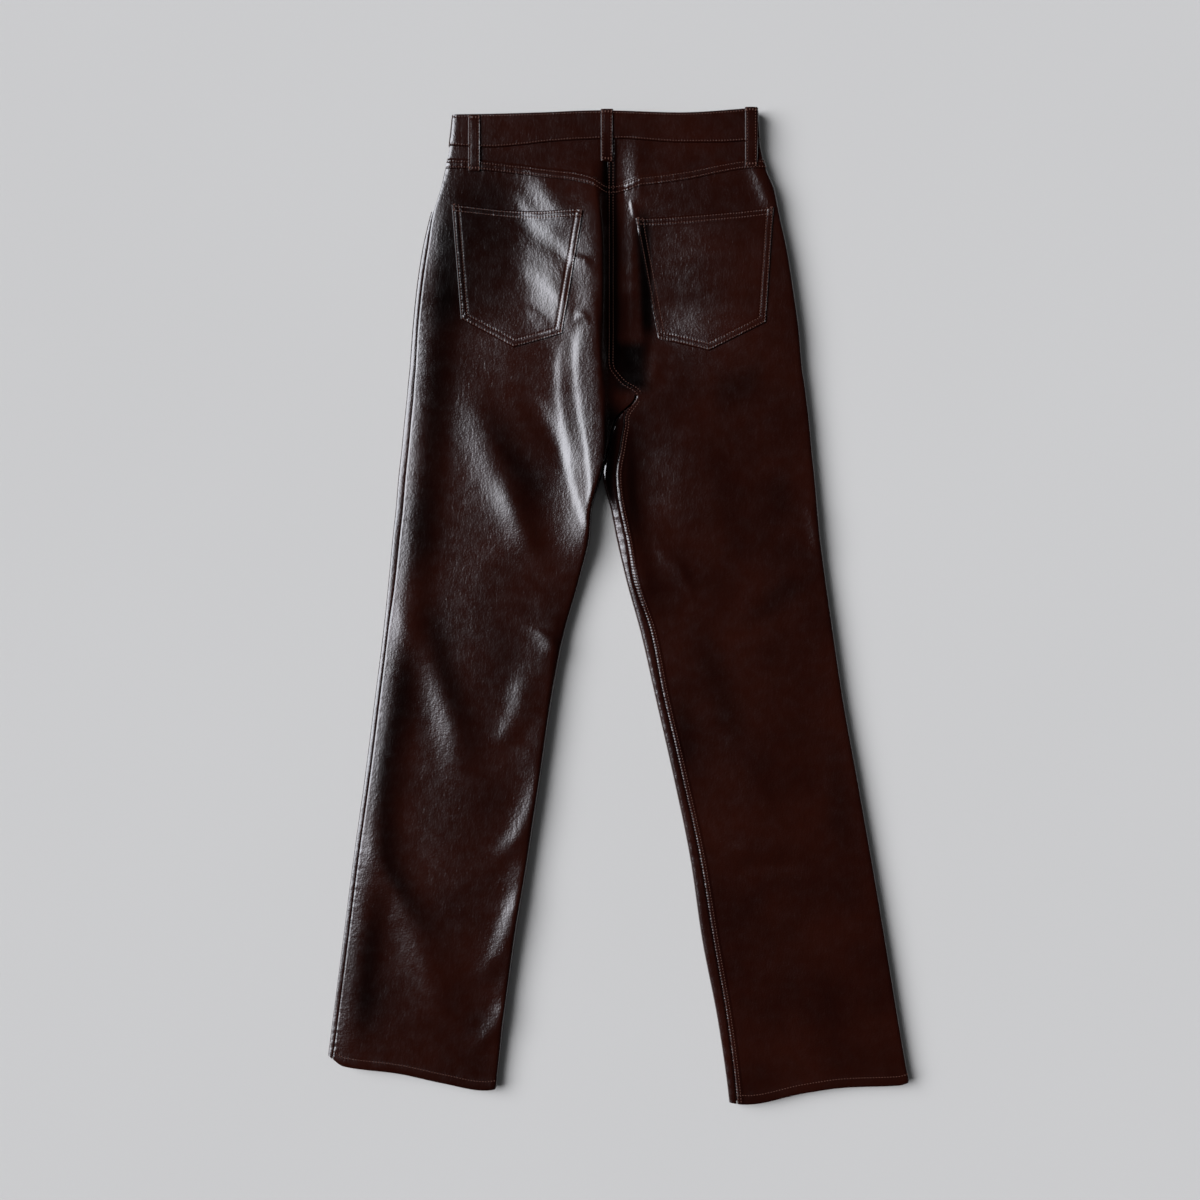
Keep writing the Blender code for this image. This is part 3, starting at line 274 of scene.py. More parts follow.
def folded(distance, radius):
    """As rolled, but squarer, as leather is where it is pressed flat along a fold."""
    share = np.clip(distance / np.maximum(radius, 1e-6), 0.0, 1.0)
    return (1 - (1 - share) ** 4) ** 0.25


def turned(way, path):
    """How far in a point lies, as a share of the roll's radius, this way along its path."""
    return 1 - np.cos(np.clip(way / np.maximum(path, 1e-6), 0, 1) * math.pi / 2)


def way_in(distance, radius, path):
    """The way along the path of a point that lies this far in: the other way round from turned."""
    return np.arccos(np.clip(1 - distance / radius, -1, 1)) / (math.pi / 2) * path


def floor_lift(down):
    """The front of the waist lies on its button and loops."""
    return WAIST_LIFT * (1 - ease((down - YOKE_LINE) / WAIST_LIFT_FADE))


def leg_roll(down):
    """The roll of a leg's inner edge, as a share of the outer edge's."""
    grown = ease((down - CROTCH_DOWN - LEG_ROLL_BELOW) / (FORK_DOWN - CROTCH_DOWN))
    return CROTCH_ROLL / ROLL_TOP + (1 - CROTCH_ROLL / ROLL_TOP) * grown


def front_seam(down):
    """Where the centre front seam lies across: straight, then swinging over to the crotch."""
    swing = ease((down - SEAM_SWING_DOWN) / (CROTCH_DOWN - SEAM_SWING_DOWN))
    return CENTRE_X + (CROTCH_X - CENTRE_X) * swing


def in_leg(down):
    """Whether this lies below the crotch, where each half is a leg of its own."""
    return down > CROTCH_DOWN + 0.01


def frame_of(side, down):
    """Everything about a half's section at these distances down."""
    inward = 1.0 if side == "left" else -1.0
    leg = in_leg(down)
    outer = section("outer_" + side, down)
    inner = section("inner_" + side, down) - inward * np.where(leg, 2 * SEAM_HALF, 0.0)
    roll = leg_roll(down)
    width = np.abs(inner - outer)
    over = ROLL_TOP_PATH + width - ROLL_TOP + np.where(leg, (ROLL_TOP_PATH - ROLL_TOP) * roll, 0.0)
    under = np.where(leg, (ROLL_UNDER_PATH - ROLL_UNDER) * (1 + roll) + width,
                     ROLL_UNDER_PATH + np.abs(front_seam(down) - outer) - ROLL_UNDER)
    return inward, leg, outer, inner, roll, over, under


def path_lengths(side, down):
    """The whole way over the top, and the whole way beneath."""
    return frame_of(side, down)[-2:]


def over_points(side, down, way):
    """x and z of the outer face, this way over the top from the outermost point, or beneath where it is below 0."""
    inward, leg, outer, inner, roll, over, under = frame_of(side, down)
    beneath = np.where(way < 0, -way, np.where(leg & (way > over), under - (way - over), -1.0))
    in_x = outer + inward * np.where(way < ROLL_TOP_PATH, ROLL_TOP * turned(way, ROLL_TOP_PATH),
                                     way - ROLL_TOP_PATH + ROLL_TOP)
    left = over - way
    far_x = inner - inward * ROLL_TOP * roll * turned(left, ROLL_TOP_PATH * roll)
    x = np.where(leg & (left < ROLL_TOP_PATH * roll), far_x, in_x)
    edge = section("edge", down)
    z = edge + (leather_top(x, down) - edge) * folded(np.abs(x - outer), ROLL_TOP)
    inner_edge = FORK_EDGE + LEG_EDGE_RISE * ease((down - CROTCH_DOWN) / (FORK_DOWN - CROTCH_DOWN))
    z = np.where(leg, inner_edge + (z - inner_edge) * folded(np.abs(x - inner), ROLL_TOP * roll), z)
    under_x = outer + inward * np.where(beneath < ROLL_UNDER_PATH, ROLL_UNDER * turned(beneath, ROLL_UNDER_PATH),
                                        beneath - ROLL_UNDER_PATH + ROLL_UNDER)
    last = under - beneath
    far_under = inner - inward * ROLL_UNDER * roll * turned(last, ROLL_UNDER_PATH * roll)
    under_x = np.where(leg & (last < ROLL_UNDER_PATH * roll), far_under, under_x)
    lift = floor_lift(down)
    under_z = lift + (edge - lift) * (1 - rolled(np.abs(under_x - outer), ROLL_UNDER))
    under_z += np.where(leg, inner_edge * (1 - rolled(np.abs(under_x - inner), ROLL_UNDER * roll)), 0.0)
    return np.where(beneath >= 0, under_x, x), np.where(beneath >= 0, under_z, z)


def outer_seam(side, down):
    """The side seam's way over the top from the outermost point, below 0 where it lies beneath."""
    if side == "right":
        return np.full_like(down, -(ROLL_UNDER_PATH + SIDE_SEAM_BENEATH))
    return way_in(section("side_seam", down), ROLL_TOP, ROLL_TOP_PATH)


def inner_seam(side, down):
    """The inseam's way from the leg's inner edge, the same way."""
    roll = leg_roll(down)
    if side == "left":
        return -ROLL_UNDER_PATH * roll * ease((down - INSEAM_UNDER_DOWN) / INSEAM_UNDER_FADE)
    inset = section("inseam", down) * ease((down - CROTCH_DOWN) / INSEAM_OVER_FADE)
    return np.where(inset >= ROLL_TOP * roll, ROLL_TOP_PATH * roll + inset - ROLL_TOP * roll,
                    way_in(inset, ROLL_TOP * roll, ROLL_TOP_PATH * roll))


def spaced(near, step_near, length, step, far, step_far):
    """Shares 0 to 1 of a row, closer together near its two ends."""
    first = np.arange(0.0, near, step_near)
    last = length - np.arange(0.0, far, step_far)[::-1]
    count = max(2, int((last[0] - first[-1]) / step))
    middle = np.linspace(first[-1], last[0], count + 1)[1:-1]
    return np.concatenate([first, middle, last]) / length


def placed(x, down, z):
    """Points this far across, this far down and this high."""
    return np.stack(np.broadcast_arrays(x, TOP_Y - down, z), axis=-1)


def row_grid(side, nominal, down_at, shares, start_at, end_at, path=over_points):
    """Points of a panel, their ways from its two seams, and their distances down."""
    down = np.repeat(np.asarray(nominal, float)[:, None], len(shares), axis=1)
    base = down.copy()
    for _ in range(4):
        start, end = start_at(down), end_at(down)
        way = start + (end - start) * shares
        x, z = path(side, down, way)
        down = down_at(base, x)
    return placed(x, down, z), way - start, end - way, down


def row_sizes(from_outer, from_inner, down):
    """The cut widths of a grid's rows, and their distances down."""
    return (from_outer + from_inner).mean(axis=1), down.mean(axis=1)


def outward(points, ring=False, up=True):
    """Unit normals of a grid of points, pointing out of the garment."""
    if ring:
        wrapped = np.concatenate([points[:, -1:], points, points[:, :1]], axis=1)
        by_column = np.gradient(wrapped, axis=1)[:, 1:-1]
    else:
        by_column = np.gradient(points, axis=1)
    normals = np.cross(np.gradient(points, axis=0), by_column)
    normals /= np.linalg.norm(normals, axis=-1, keepdims=True) + 1e-12
    sides = np.sign(points[..., 2] - points[..., 2].mean()) if ring else (1 if up else -1)
    return normals if (normals[..., 2] * sides).sum() > 0 else -normals


def shell(name, points, detail, wall, ring=False, up=True):
    """A closed wall of leather: the grid raised by its detail, and the same grid one wall further in."""
    normals = outward(points, ring, up)
    outer = points + normals * detail[..., None]
    inner = points - normals * np.broadcast_to(wall, detail.shape)[..., None]
    rows, columns = detail.shape
    top = np.arange(rows * columns).reshape(rows, columns)
    if ring:
        top = np.concatenate([top, top[:, :1]], axis=1)
    below = top + rows * columns

    def band(a, b, c, d):
        return np.stack([a, b, c, d], axis=-1).reshape(-1, 4)

    faces = [band(top[:-1, :-1], top[1:, :-1], top[1:, 1:], top[:-1, 1:]),
             band(below[:-1, 1:], below[1:, 1:], below[1:, :-1], below[:-1, :-1]),
             band(top[0, :-1], top[0, 1:], below[0, 1:], below[0, :-1]),
             band(top[-1, 1:], top[-1, :-1], below[-1, :-1], below[-1, 1:])]
    if not ring:
        faces += [band(top[1:, 0], top[:-1, 0], below[:-1, 0], below[1:, 0]),
                  band(top[:-1, -1], top[1:, -1], below[1:, -1], below[:-1, -1])]
    mesh = bpy.data.meshes.new(name)
    vertices = np.concatenate([outer.reshape(-1, 3), inner.reshape(-1, 3)]) * MM
    mesh.from_pydata(vertices.tolist(), [], np.concatenate(faces).tolist())
    mesh.update()
    enclosed = sum(face.center.dot(face.normal) * face.area for face in mesh.polygons)
    if enclosed < 0:
        mesh.flip_normals()
    return mesh


def leather_piece(name, mesh, material, node):
    """A finished leather piece in the scene, standing for its solid."""
    mesh.materials.append(material)
    mesh.shade_smooth()
    mesh.set_sharp_from_angle(angle=math.radians(50))
    piece = bpy.data.objects.new(name, mesh)
    bpy.context.scene.collection.objects.link(piece)
    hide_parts(node)
    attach(piece, "root")
    return piece


def mark(mesh, name, values):
    """Stores a value for each point of a wall's grid, outside and inside."""
    flat = np.asarray(values, float).ravel()
    mesh.attributes.new(name, "FLOAT", "POINT").data.foreach_set("value", np.concatenate([flat, flat]))


def mark_painted_shade(mesh, x, down):
    """Stores painted shade for each point, from 0 to 1: how far its colour is darkened to stand for shade."""
    mark(mesh, "deep", np.clip(fold_relief(x, down, PAINTED_SHADE), 0.0, 1.0))


def near_rows(distance, places):
    """How close each point lies to rows of stitches at these distances, from 0 to 1."""
    return sum(np.exp(-(((distance - place) / STITCH_PULL) ** 2)) for place in places)


def lay_sheet(piece, widths, downs, rests_on, with_pieces=()):
    """Sorts the widths of a panel's rows by their distance down, and keeps nothing."""
    order = np.argsort(downs)
    widths, downs = np.asarray(widths)[order], np.asarray(downs)[order]


def srgb(text):
    """A hex colour as linear red, green, blue and alpha."""
    values = [int(text[i:i + 2], 16) / 255 for i in (1, 3, 5)]
    return [v / 12.92 if v <= 0.04045 else ((v + 0.055) / 1.055) ** 2.4 for v in values] + [1.0]


def add_node(tree, kind, inputs=None, **settings):
    """Adds a node with its settings, and sets or links its inputs."""
    made = tree.nodes.new(kind)
    for name, value in settings.items():
        setattr(made, name, value)
    for name, value in (inputs or {}).items():
        if isinstance(value, bpy.types.NodeSocket):
            tree.links.new(value, made.inputs[name])
        else:
            made.inputs[name].default_value = value
    return made


def new_material(name):
    """A material with its node tree, its shader, and where each point lies."""
    material = bpy.data.materials.new(name)
    material.use_nodes = True
    tree = material.node_tree
    place = add_node(tree, "ShaderNodeTexCoord").outputs["Object"]
    return material, tree, tree.nodes["Principled BSDF"], place


# The patterns' sizes and heights. Real grain and its creases are two or three times finer: at that size they wouldn't
# show, so they are drawn coarser.
MOTTLE_SIZE = 90.0
SHEEN_SIZE = 12.0
WAVE_SIZE, WAVE_HEIGHT = 30.0, 0.35
CREASE_SIZE, CREASE_HEIGHT = 4.5, 0.26
GRAIN_SIZE, GRAIN_HEIGHT = 1.9, 0.18


def coated_leather(name, light, dark, roughness):
    """Pigmented cow leather with a glossy finish: a dark red-brown body under a clear coat that gives the wet shine,
    a fine pebbled grain, and slanting creases that break up the highlights. Where a piece carries painted shade (its
    deep attribute), in its hollows and shaded places, the colour is darkened to stand for the shade that falls there."""
    material, tree, shader, place = new_material(name)
    tone = add_node(tree, "ShaderNodeTexNoise", {"Vector": place, "Scale": 1 / (MOTTLE_SIZE * MM), "Detail": 4.0})
    patches = add_node(tree, "ShaderNodeMapRange", {"Value": tone.outputs["Fac"], "From Min": 0.25, "From Max": 0.75})
    colour = add_node(tree, "ShaderNodeMix", {"Factor": patches.outputs["Result"], 6: srgb(dark), 7: srgb(light)},
                      data_type="RGBA")
    # Painted shade: the deep attribute darkens the body colour to stand for shade.
    deep = add_node(tree, "ShaderNodeAttribute", attribute_name="deep").outputs["Fac"]
    painted_darkening = add_node(tree, "ShaderNodeMapRange", {"Value": deep, "To Min": 1.0, "To Max": PAINTED_SHADE_TONE})
    body = add_node(tree, "ShaderNodeVectorMath", {0: colour.outputs[2], "Scale": painted_darkening.outputs["Result"]},
                    operation="SCALE")
    tree.links.new(body.outputs["Vector"], shader.inputs["Base Color"])
    sheen = add_node(tree, "ShaderNodeTexNoise", {"Vector": place, "Scale": 1 / (SHEEN_SIZE * MM), "Detail": 3.0})
    gloss = add_node(tree, "ShaderNodeMapRange", {"Value": sheen.outputs["Fac"], "From Min": 0.3, "From Max": 0.7,
                                                  "To Min": roughness - 0.04, "To Max": roughness + 0.05})
    tree.links.new(gloss.outputs["Result"], shader.inputs["Roughness"])
    axes = add_node(tree, "ShaderNodeSeparateXYZ", {"Vector": place}).outputs
    pulled = 0.0
    for axis, rows in (("X", "rows_across"), ("Y", "rows_down")):
        near = add_node(tree, "ShaderNodeAttribute", attribute_name=rows).outputs["Fac"]
        turn = add_node(tree, "ShaderNodeMath", {0: axes[axis], 1: 2 * math.pi / (STITCH_PITCH * MM)},
                        operation="MULTIPLY")
        wave = add_node(tree, "ShaderNodeMath", {0: turn.outputs["Value"]}, operation="SINE")
        pulled = add_node(tree, "ShaderNodeMath", {0: wave.outputs["Value"], 1: near, 2: pulled},
                          operation="MULTIPLY_ADD").outputs["Value"]
    waves = add_node(tree, "ShaderNodeTexNoise", {"Vector": place, "Scale": 1 / (WAVE_SIZE * MM), "Detail": 2.0})
    slanted = add_node(tree, "ShaderNodeMapping", {"Vector": place, "Rotation": (0.0, 0.0, math.radians(-40)),
                                                   "Scale": (1.0, 0.45, 1.0)})
    creases = add_node(tree, "ShaderNodeTexNoise", {
        "Vector": slanted.outputs["Vector"], "Scale": 1 / (CREASE_SIZE * MM), "Detail": 3.0, "Roughness": 0.6,
        "Distortion": 0.5})
    pebbles = add_node(tree, "ShaderNodeTexVoronoi", {"Vector": place, "Scale": 1 / (GRAIN_SIZE * MM),
                                                      "Randomness": 1.0}, feature="SMOOTH_F1")
    relief = add_node(tree, "ShaderNodeBump", {"Height": pulled, "Strength": 1.0, "Distance": STITCH_TICK * MM})
    for pattern, strength, height in ((waves.outputs["Fac"], 1.0, WAVE_HEIGHT),
                                      (creases.outputs["Fac"], 1.0, CREASE_HEIGHT),
                                      (pebbles.outputs["Distance"], 0.7, GRAIN_HEIGHT)):
        relief = add_node(tree, "ShaderNodeBump", {"Height": pattern, "Strength": strength, "Distance": height * MM,
                                                   "Normal": relief.outputs["Normal"]})
    tree.links.new(relief.outputs["Normal"], shader.inputs["Normal"])
    shader.inputs["IOR"].default_value = 1.47
    shader.inputs["Coat Weight"].default_value = 0.3
    shader.inputs["Coat Roughness"].default_value = 0.16
    return material


def edge_round(distance, radius):
    """How much a cut or folded edge drops within this distance of it."""
    share = np.clip(distance / radius, 0.0, 1.0)
    return -radius * (1 - np.sqrt(1 - (1 - share) ** 2))


def stitch_grooves(distance, places, depth=0.35, width=0.9):
    """The lines that rows of stitches pull down at these distances."""
    return -depth * sum(np.exp(-(((distance - place) / width) ** 2)) for place in places)


def lapped(distance, depth, fade=2.5):
    """1 on a lap or hem this deep, and 0 past it."""
    return 1 - ease((distance - depth) / fade)


def puckers(distance, down, depth, reach):
    """Small gathers beside a seam, uneven along it."""
    wave = np.sin(down * 2 * math.pi / 7.3) + 0.7 * np.sin(down * 2 * math.pi / 11.9 + 1.3)
    return depth * wave * np.exp(-((distance / reach) ** 2)) * (0.5 + 0.5 * np.sin(down / 31.0))


HEM_DEPTH = 11.0
HEM_TURNED = 0.8
HEM_RISE = 0.5
HEM_STITCHES = (10.0,)
SEAT_LAP = 7.5
SEAT_RISE = 0.5
SEAT_STITCHES = (1.6, 6.0)
SEAT_END = CROTCH_DOWN - 6.0
INSEAM_LAP = 5.0
INSEAM_RISE = 0.8
INSEAM_STITCHES = (1.3, 4.2)
INSEAM_START = 340.0
PANEL_ROWS = np.concatenate([np.arange(YOKE_LINE, 420.0, 2.0), np.linspace(420.0, HEM_LINE, 236)])
# How dark the painted shade makes the leather's colour at its fullest.
PAINTED_SHADE_TONE = 0.08
STITCH_PITCH = 3.05
STITCH_PULL = 1.3
STITCH_TICK = 0.09
main_leather = coated_leather("coated leather", "#220a05", "#140402", 0.21)
YOKE_BEND = 62.0
HEM_BEND = 80.0


def panel_down(side, top_seam, top_line, bend):
    def at(nominal, x):
        down = nominal + (across(top_seam, x) + SEAM_HALF - top_line) * (1 - ease((nominal - top_line) / bend))
        return down + (across(HEM[side], x) - HEM_LINE) * ease((nominal - HEM_LINE + HEM_BEND) / HEM_BEND)
    return at


def back_start(side):
    gap = ROLLED_SEAM_HALF if side == "left" else SEAM_HALF
    return lambda down: outer_seam(side, down) + gap


def back_end(side):
    def at(down):
        over, _ = path_lengths(side, down)
        return np.where(in_leg(down), over - inner_seam(side, down) - ROLLED_SEAM_HALF, over - SEAM_HALF)
    return at


BACK_SHARES = {"left": spaced(14.0, 1.0, 215.0, 2.7, 30.0, 1.5), "right": spaced(26.0, 2.0, 215.0, 2.7, 30.0, 1.0)}
back_pieces = {}
for side in ("left", "right"):
    points, from_outer, from_inner, down = row_grid(
        side, PANEL_ROWS, panel_down(side, YOKE_SEAM, YOKE_LINE, YOKE_BEND), BACK_SHARES[side],
        back_start(side), back_end(side))
    hem_gap = across(HEM[side], points[..., 0]) - down
    yoke_gap = down - across(YOKE_SEAM, points[..., 0])
    folded_hem = lapped(hem_gap, HEM_DEPTH)
    detail = edge_round(hem_gap, 1.0) + stitch_grooves(hem_gap, HEM_STITCHES) + HEM_RISE * folded_hem
    detail += puckers(yoke_gap, points[..., 0], 0.12, 6.0)
    if side == "left":
        detail += puckers(from_outer, down, 0.14, 4.0) + edge_round(from_outer, 0.25)
    else:
        above = 1 - ease((down - SEAT_END) / 8.0)
        detail += above * (SEAT_RISE * lapped(from_inner, SEAT_LAP) + edge_round(from_inner, 0.5)
                           + stitch_grooves(from_inner, SEAT_STITCHES))
        drawn = (1 - above) * ease((down - INSEAM_START) / 50.0)
        detail += drawn * (INSEAM_RISE * lapped(from_inner, INSEAM_LAP, 2.0) + edge_round(from_inner, 0.8)
                           + stitch_grooves(from_inner, INSEAM_STITCHES) + puckers(from_inner, down, 0.2, 6.0))
    name = "back_" + side
    mesh = shell(name, points, detail, PANEL_WALL + HEM_TURNED * folded_hem)
    # Painted shade: darkens the colour where shade falls.
    mark_painted_shade(mesh, points[..., 0], down)
    mark(mesh, "rows_across", near_rows(hem_gap, HEM_STITCHES))
    if side == "right":
        mark(mesh, "rows_down", above * near_rows(from_inner, SEAT_STITCHES)
             + drawn * near_rows(from_inner, INSEAM_STITCHES))
    back_pieces[side] = leather_piece(name + "_panel", mesh, main_leather, name)
    lay_sheet(back_pieces[side], *row_sizes(from_outer, from_inner, down), ["front_%s_panel" % side])

# --------------------------------------------------------------------------- yokes
# Two curved yokes of the same leather shape the seat. Their lower edges are turned under and lapped over the back
# panels, which makes a ridge about 9 mm deep, held by two rows of stitches.
WAIST_SEAM = ((-182.0, 41.7), (-138.0, 43.9), (-106.0, 41.7), (-79.0, 38.5), (-41.5, 35.8), (3.5, 34.4),
              (23.0, 35.8), (65.5, 38.5), (108.0, 38.5), (135.0, 36.9), (152.0, 34.8))
YOKE_LAP = 8.5
YOKE_RISE = 0.9
YOKE_STITCHES = (1.8, 7.2)
YOKE_ROW_SHARES = np.concatenate([np.linspace(0, 0.65, 20), np.linspace(0.68, 1.0, 22)])
yoke_pieces = {}
for side in ("left", "right"):
    def yoke_down(share, x):
        upper = across(WAIST_SEAM, x) + SEAM_HALF
        return upper + (across(YOKE_SEAM, x) - SEAM_HALF - upper) * share
    points, from_outer, from_inner, down = row_grid(
        side, YOKE_ROW_SHARES, yoke_down, BACK_SHARES[side], back_start(side), back_end(side))
    below = across(YOKE_SEAM, points[..., 0]) - down
    detail = (YOKE_RISE * lapped(below, YOKE_LAP) + edge_round(below, 0.9) + stitch_grooves(below, YOKE_STITCHES)
              + puckers(below, points[..., 0], 0.18, 7.0))
    if side == "left":
        detail += edge_round(from_outer, 0.8)
    else:
        detail += (YOKE_RISE * lapped(from_inner, SEAT_LAP) + edge_round(from_inner, 0.9)
                   + stitch_grooves(from_inner, SEAT_STITCHES)) * 0.6
    name = "yoke_" + side
    mesh = shell(name, points, detail, PANEL_WALL)
    # Painted shade: darkens the colour where shade falls.
    mark_painted_shade(mesh, points[..., 0], down)
    mark(mesh, "rows_across", near_rows(below, YOKE_STITCHES))
    if side == "right":
        mark(mesh, "rows_down", near_rows(from_inner, SEAT_STITCHES))
    yoke_pieces[side] = leather_piece(name + "_panel", mesh, main_leather, name)
    lay_sheet(yoke_pieces[side], *row_sizes(from_outer, from_inner, down), ["front_%s_panel" % side])

# --------------------------------------------------------------------------- front panels
# The front panels lie beneath, flat on the floor, and come round the left edge and the right leg's inner edge to
# seams on top. Each has a scooped pocket opening at its outer top corner, with a leather facing behind it.
WAIST_LINE = 38.5
WAIST_BEND = 22.0
SCOOP_WIDTH = 85.0
SCOOP_DEPTH = 73.0
FACING_WIDTH = 112.0
FACING_TOP = 41.0
FACING_ENDS = 130.0
FACING_WALL = 1.1
SOLID_WALL = 1.4
LAY_GAP = 0.4
SCOOP_ROWS = WAIST_LINE + SCOOP_DEPTH * np.sin(np.linspace(0.0, math.pi / 2, 34))
FRONT_ROWS = np.concatenate([SCOOP_ROWS, np.arange(WAIST_LINE + SCOOP_DEPTH + 3.0, 440.0, 3.5),
                             np.linspace(440.0, HEM_LINE, 165)])
FRONT_SHARES = {"left": spaced(24.0, 1.2, 215.0, 7.0, 12.0, 1.5), "right": spaced(8.0, 2.0, 215.0, 8.0, 30.0, 1.3)}


def under_points(side, down, way):
    """x and z of the outer face, this way beneath from the outermost point, or on top where it is below 0."""
    over, under = path_lengths(side, down)
    return over_points(side, down, np.where(in_leg(down) & (way > 0), over + under - way, -way))


def scoop_way(side, down):
    """Where the pocket opening's edge lies on the way beneath, or far outside it below the opening."""
    share = np.clip((down - WAIST_LINE) / SCOOP_DEPTH, 0.0, 1.0)
    reach = SCOOP_WIDTH * np.sqrt(1 - share * share)
    at_x = section("outer_" + side, np.full_like(down, WAIST_LINE)) + (reach if side == "left" else -reach)
    in_by = (at_x - section("outer_" + side, down)) * (1.0 if side == "left" else -1.0)
    return np.where(in_by > ROLL_UNDER, in_by - ROLL_UNDER + ROLL_UNDER_PATH,
                    way_in(in_by, ROLL_UNDER, ROLL_UNDER_PATH))


def front_start(side):
    gap = ROLLED_SEAM_HALF if side == "left" else SEAM_HALF
    return lambda down: np.maximum(gap - outer_seam(side, down),
                                   np.where(down < WAIST_LINE + SCOOP_DEPTH, scoop_way(side, down), -99.0))


def front_end(side):
    def at(down):
        _, under = path_lengths(side, down)
        return np.where(in_leg(down), under + inner_seam(side, down) - ROLLED_SEAM_HALF, under - SEAM_HALF)
    return at


# The inner pieces have a thinner, duller finish on the same hide, so that they take only a wide, soft shine.
satin_leather = coated_leather("satin leather", "#1d0805", "#150504", 0.38)
front_pieces = {}
for side in ("left", "right"):
    points, from_outer, from_inner, down = row_grid(
        side, FRONT_ROWS, panel_down(side, WAIST_SEAM, WAIST_LINE, WAIST_BEND), FRONT_SHARES[side],
        front_start(side), front_end(side), under_points)
    hem_gap = across(HEM[side], points[..., 0]) - down
    folded_hem = lapped(hem_gap, HEM_DEPTH)
    free = ease(points[..., 2] / 1.5)
    leg = ease((down - CROTCH_DOWN - 6.0) / 12.0)
    if side == "left":
        detail = (puckers(from_outer, down, 0.14, 4.0) + edge_round(from_outer, 0.25)) * free
    else:
        gathered = ease((down - FORK_DOWN - 12.0) / 24.0)
        detail = (puckers(from_inner, down + 3.0, 0.4, 7.0) * gathered + edge_round(from_inner, 0.8)) * free * leg
    name = "front_" + side
    mesh = shell(name, points, detail, PANEL_WALL + HEM_TURNED * folded_hem, up=False)
    # Painted shade: darkens the colour where shade falls.
    mark_painted_shade(mesh, points[..., 0], down)
    front_pieces[side] = leather_piece(name + "_panel", mesh, main_leather, name)
    lay_sheet(front_pieces[side], *row_sizes(from_outer, from_inner, down), ["floor"])

    def facing_start(down):
        return ROLLED_SEAM_HALF - outer_seam(side, down)

    def facing_end(down):
        return facing_start(down) + FACING_WIDTH

    points, from_outer, from_inner, down = row_grid(
        side, np.linspace(FACING_TOP, FACING_ENDS, 30), panel_down(side, WAIST_SEAM, WAIST_LINE, WAIST_BEND),
        np.linspace(0.0, 1.0, 36), facing_start, facing_end, under_points)
    points -= outward(points, up=False) * (SOLID_WALL + LAY_GAP)
    name = "pocket_facing_" + side
    facing = leather_piece(name + "_piece", shell(name, points, np.zeros_like(down), FACING_WALL, up=False),
                           satin_leather, name)
    lay_sheet(facing, *row_sizes(from_outer, from_inner, down), [front_pieces[side]])

# --------------------------------------------------------------------------- waistband
# One band of leather over interlining, 37 mm deep. It is folded along its top edge, sewn to the yokes and the fronts
# along its lower edge, and closed at the centre front.
WAIST_TOP = ((-177.1, 8.0), (-142.0, 7.5), (-84.3, 5.9), (-20.0, 3.7), (65.5, 5.9), (129.7, 2.1), (149.0, 0.0))
BAND_WALL = 2.8
BAND_TOP_STITCHES = (2.6,)
BAND_SEAM_STITCHES = (2.0,)
BAND_ROWS = np.concatenate([np.linspace(0.0, 0.16, 9), np.linspace(0.2, 0.8, 8), np.linspace(0.84, 1.0, 9)])
OVER_COLUMNS = spaced(12.0, 1.5, 170.0, 3.0, 4.0, 2.0)


def band_down(share, x):
    upper = across(WAIST_TOP, x)
    return upper + (across(WAIST_SEAM, x) - SEAM_HALF - upper) * share


def band_quarters(side):
    """The ring's points from this side's outer edge to the centre: over the back, and beneath the front."""
    quarters = []
    for number, path in enumerate((over_points, under_points)):
        down = np.repeat(BAND_ROWS[:, None], len(OVER_COLUMNS), axis=1) * WAIST_LINE
        for _ in range(4):
            x, z = path(side, down, path_lengths(side, down)[number] * OVER_COLUMNS)
            down = band_down(BAND_ROWS[:, None], x)
        quarters.append(placed(x, down, z))
    return quarters


back_left, front_left = band_quarters("left")
back_right, front_right = band_quarters("right")
ring = np.concatenate([back_left, back_right[:, -2::-1], front_right[:, 1:], front_left[:, -2:0:-1]], axis=1)
band_depth = across(WAIST_SEAM, ring[..., 0]) - across(WAIST_TOP, ring[..., 0])
from_top, from_seam = band_depth * BAND_ROWS[:, None], band_depth * (1 - BAND_ROWS[:, None])
detail = (edge_round(from_top, 1.2) + edge_round(from_seam, 1.0) + stitch_grooves(from_top, BAND_TOP_STITCHES)
          + stitch_grooves(from_seam, BAND_SEAM_STITCHES) + puckers(from_seam, ring[..., 0], 0.12, 8.0))
on_top = ring[..., 2] > WAIST_LIFT + 0.6
detail = np.where(on_top, detail + 0.8, detail)
band_mesh = shell("waistband", ring, detail, BAND_WALL, ring=True)
mark(band_mesh, "rows_across", near_rows(from_top, BAND_TOP_STITCHES) + near_rows(from_seam, BAND_SEAM_STITCHES))
waistband = leather_piece("waistband_piece", band_mesh, main_leather, "waistband")

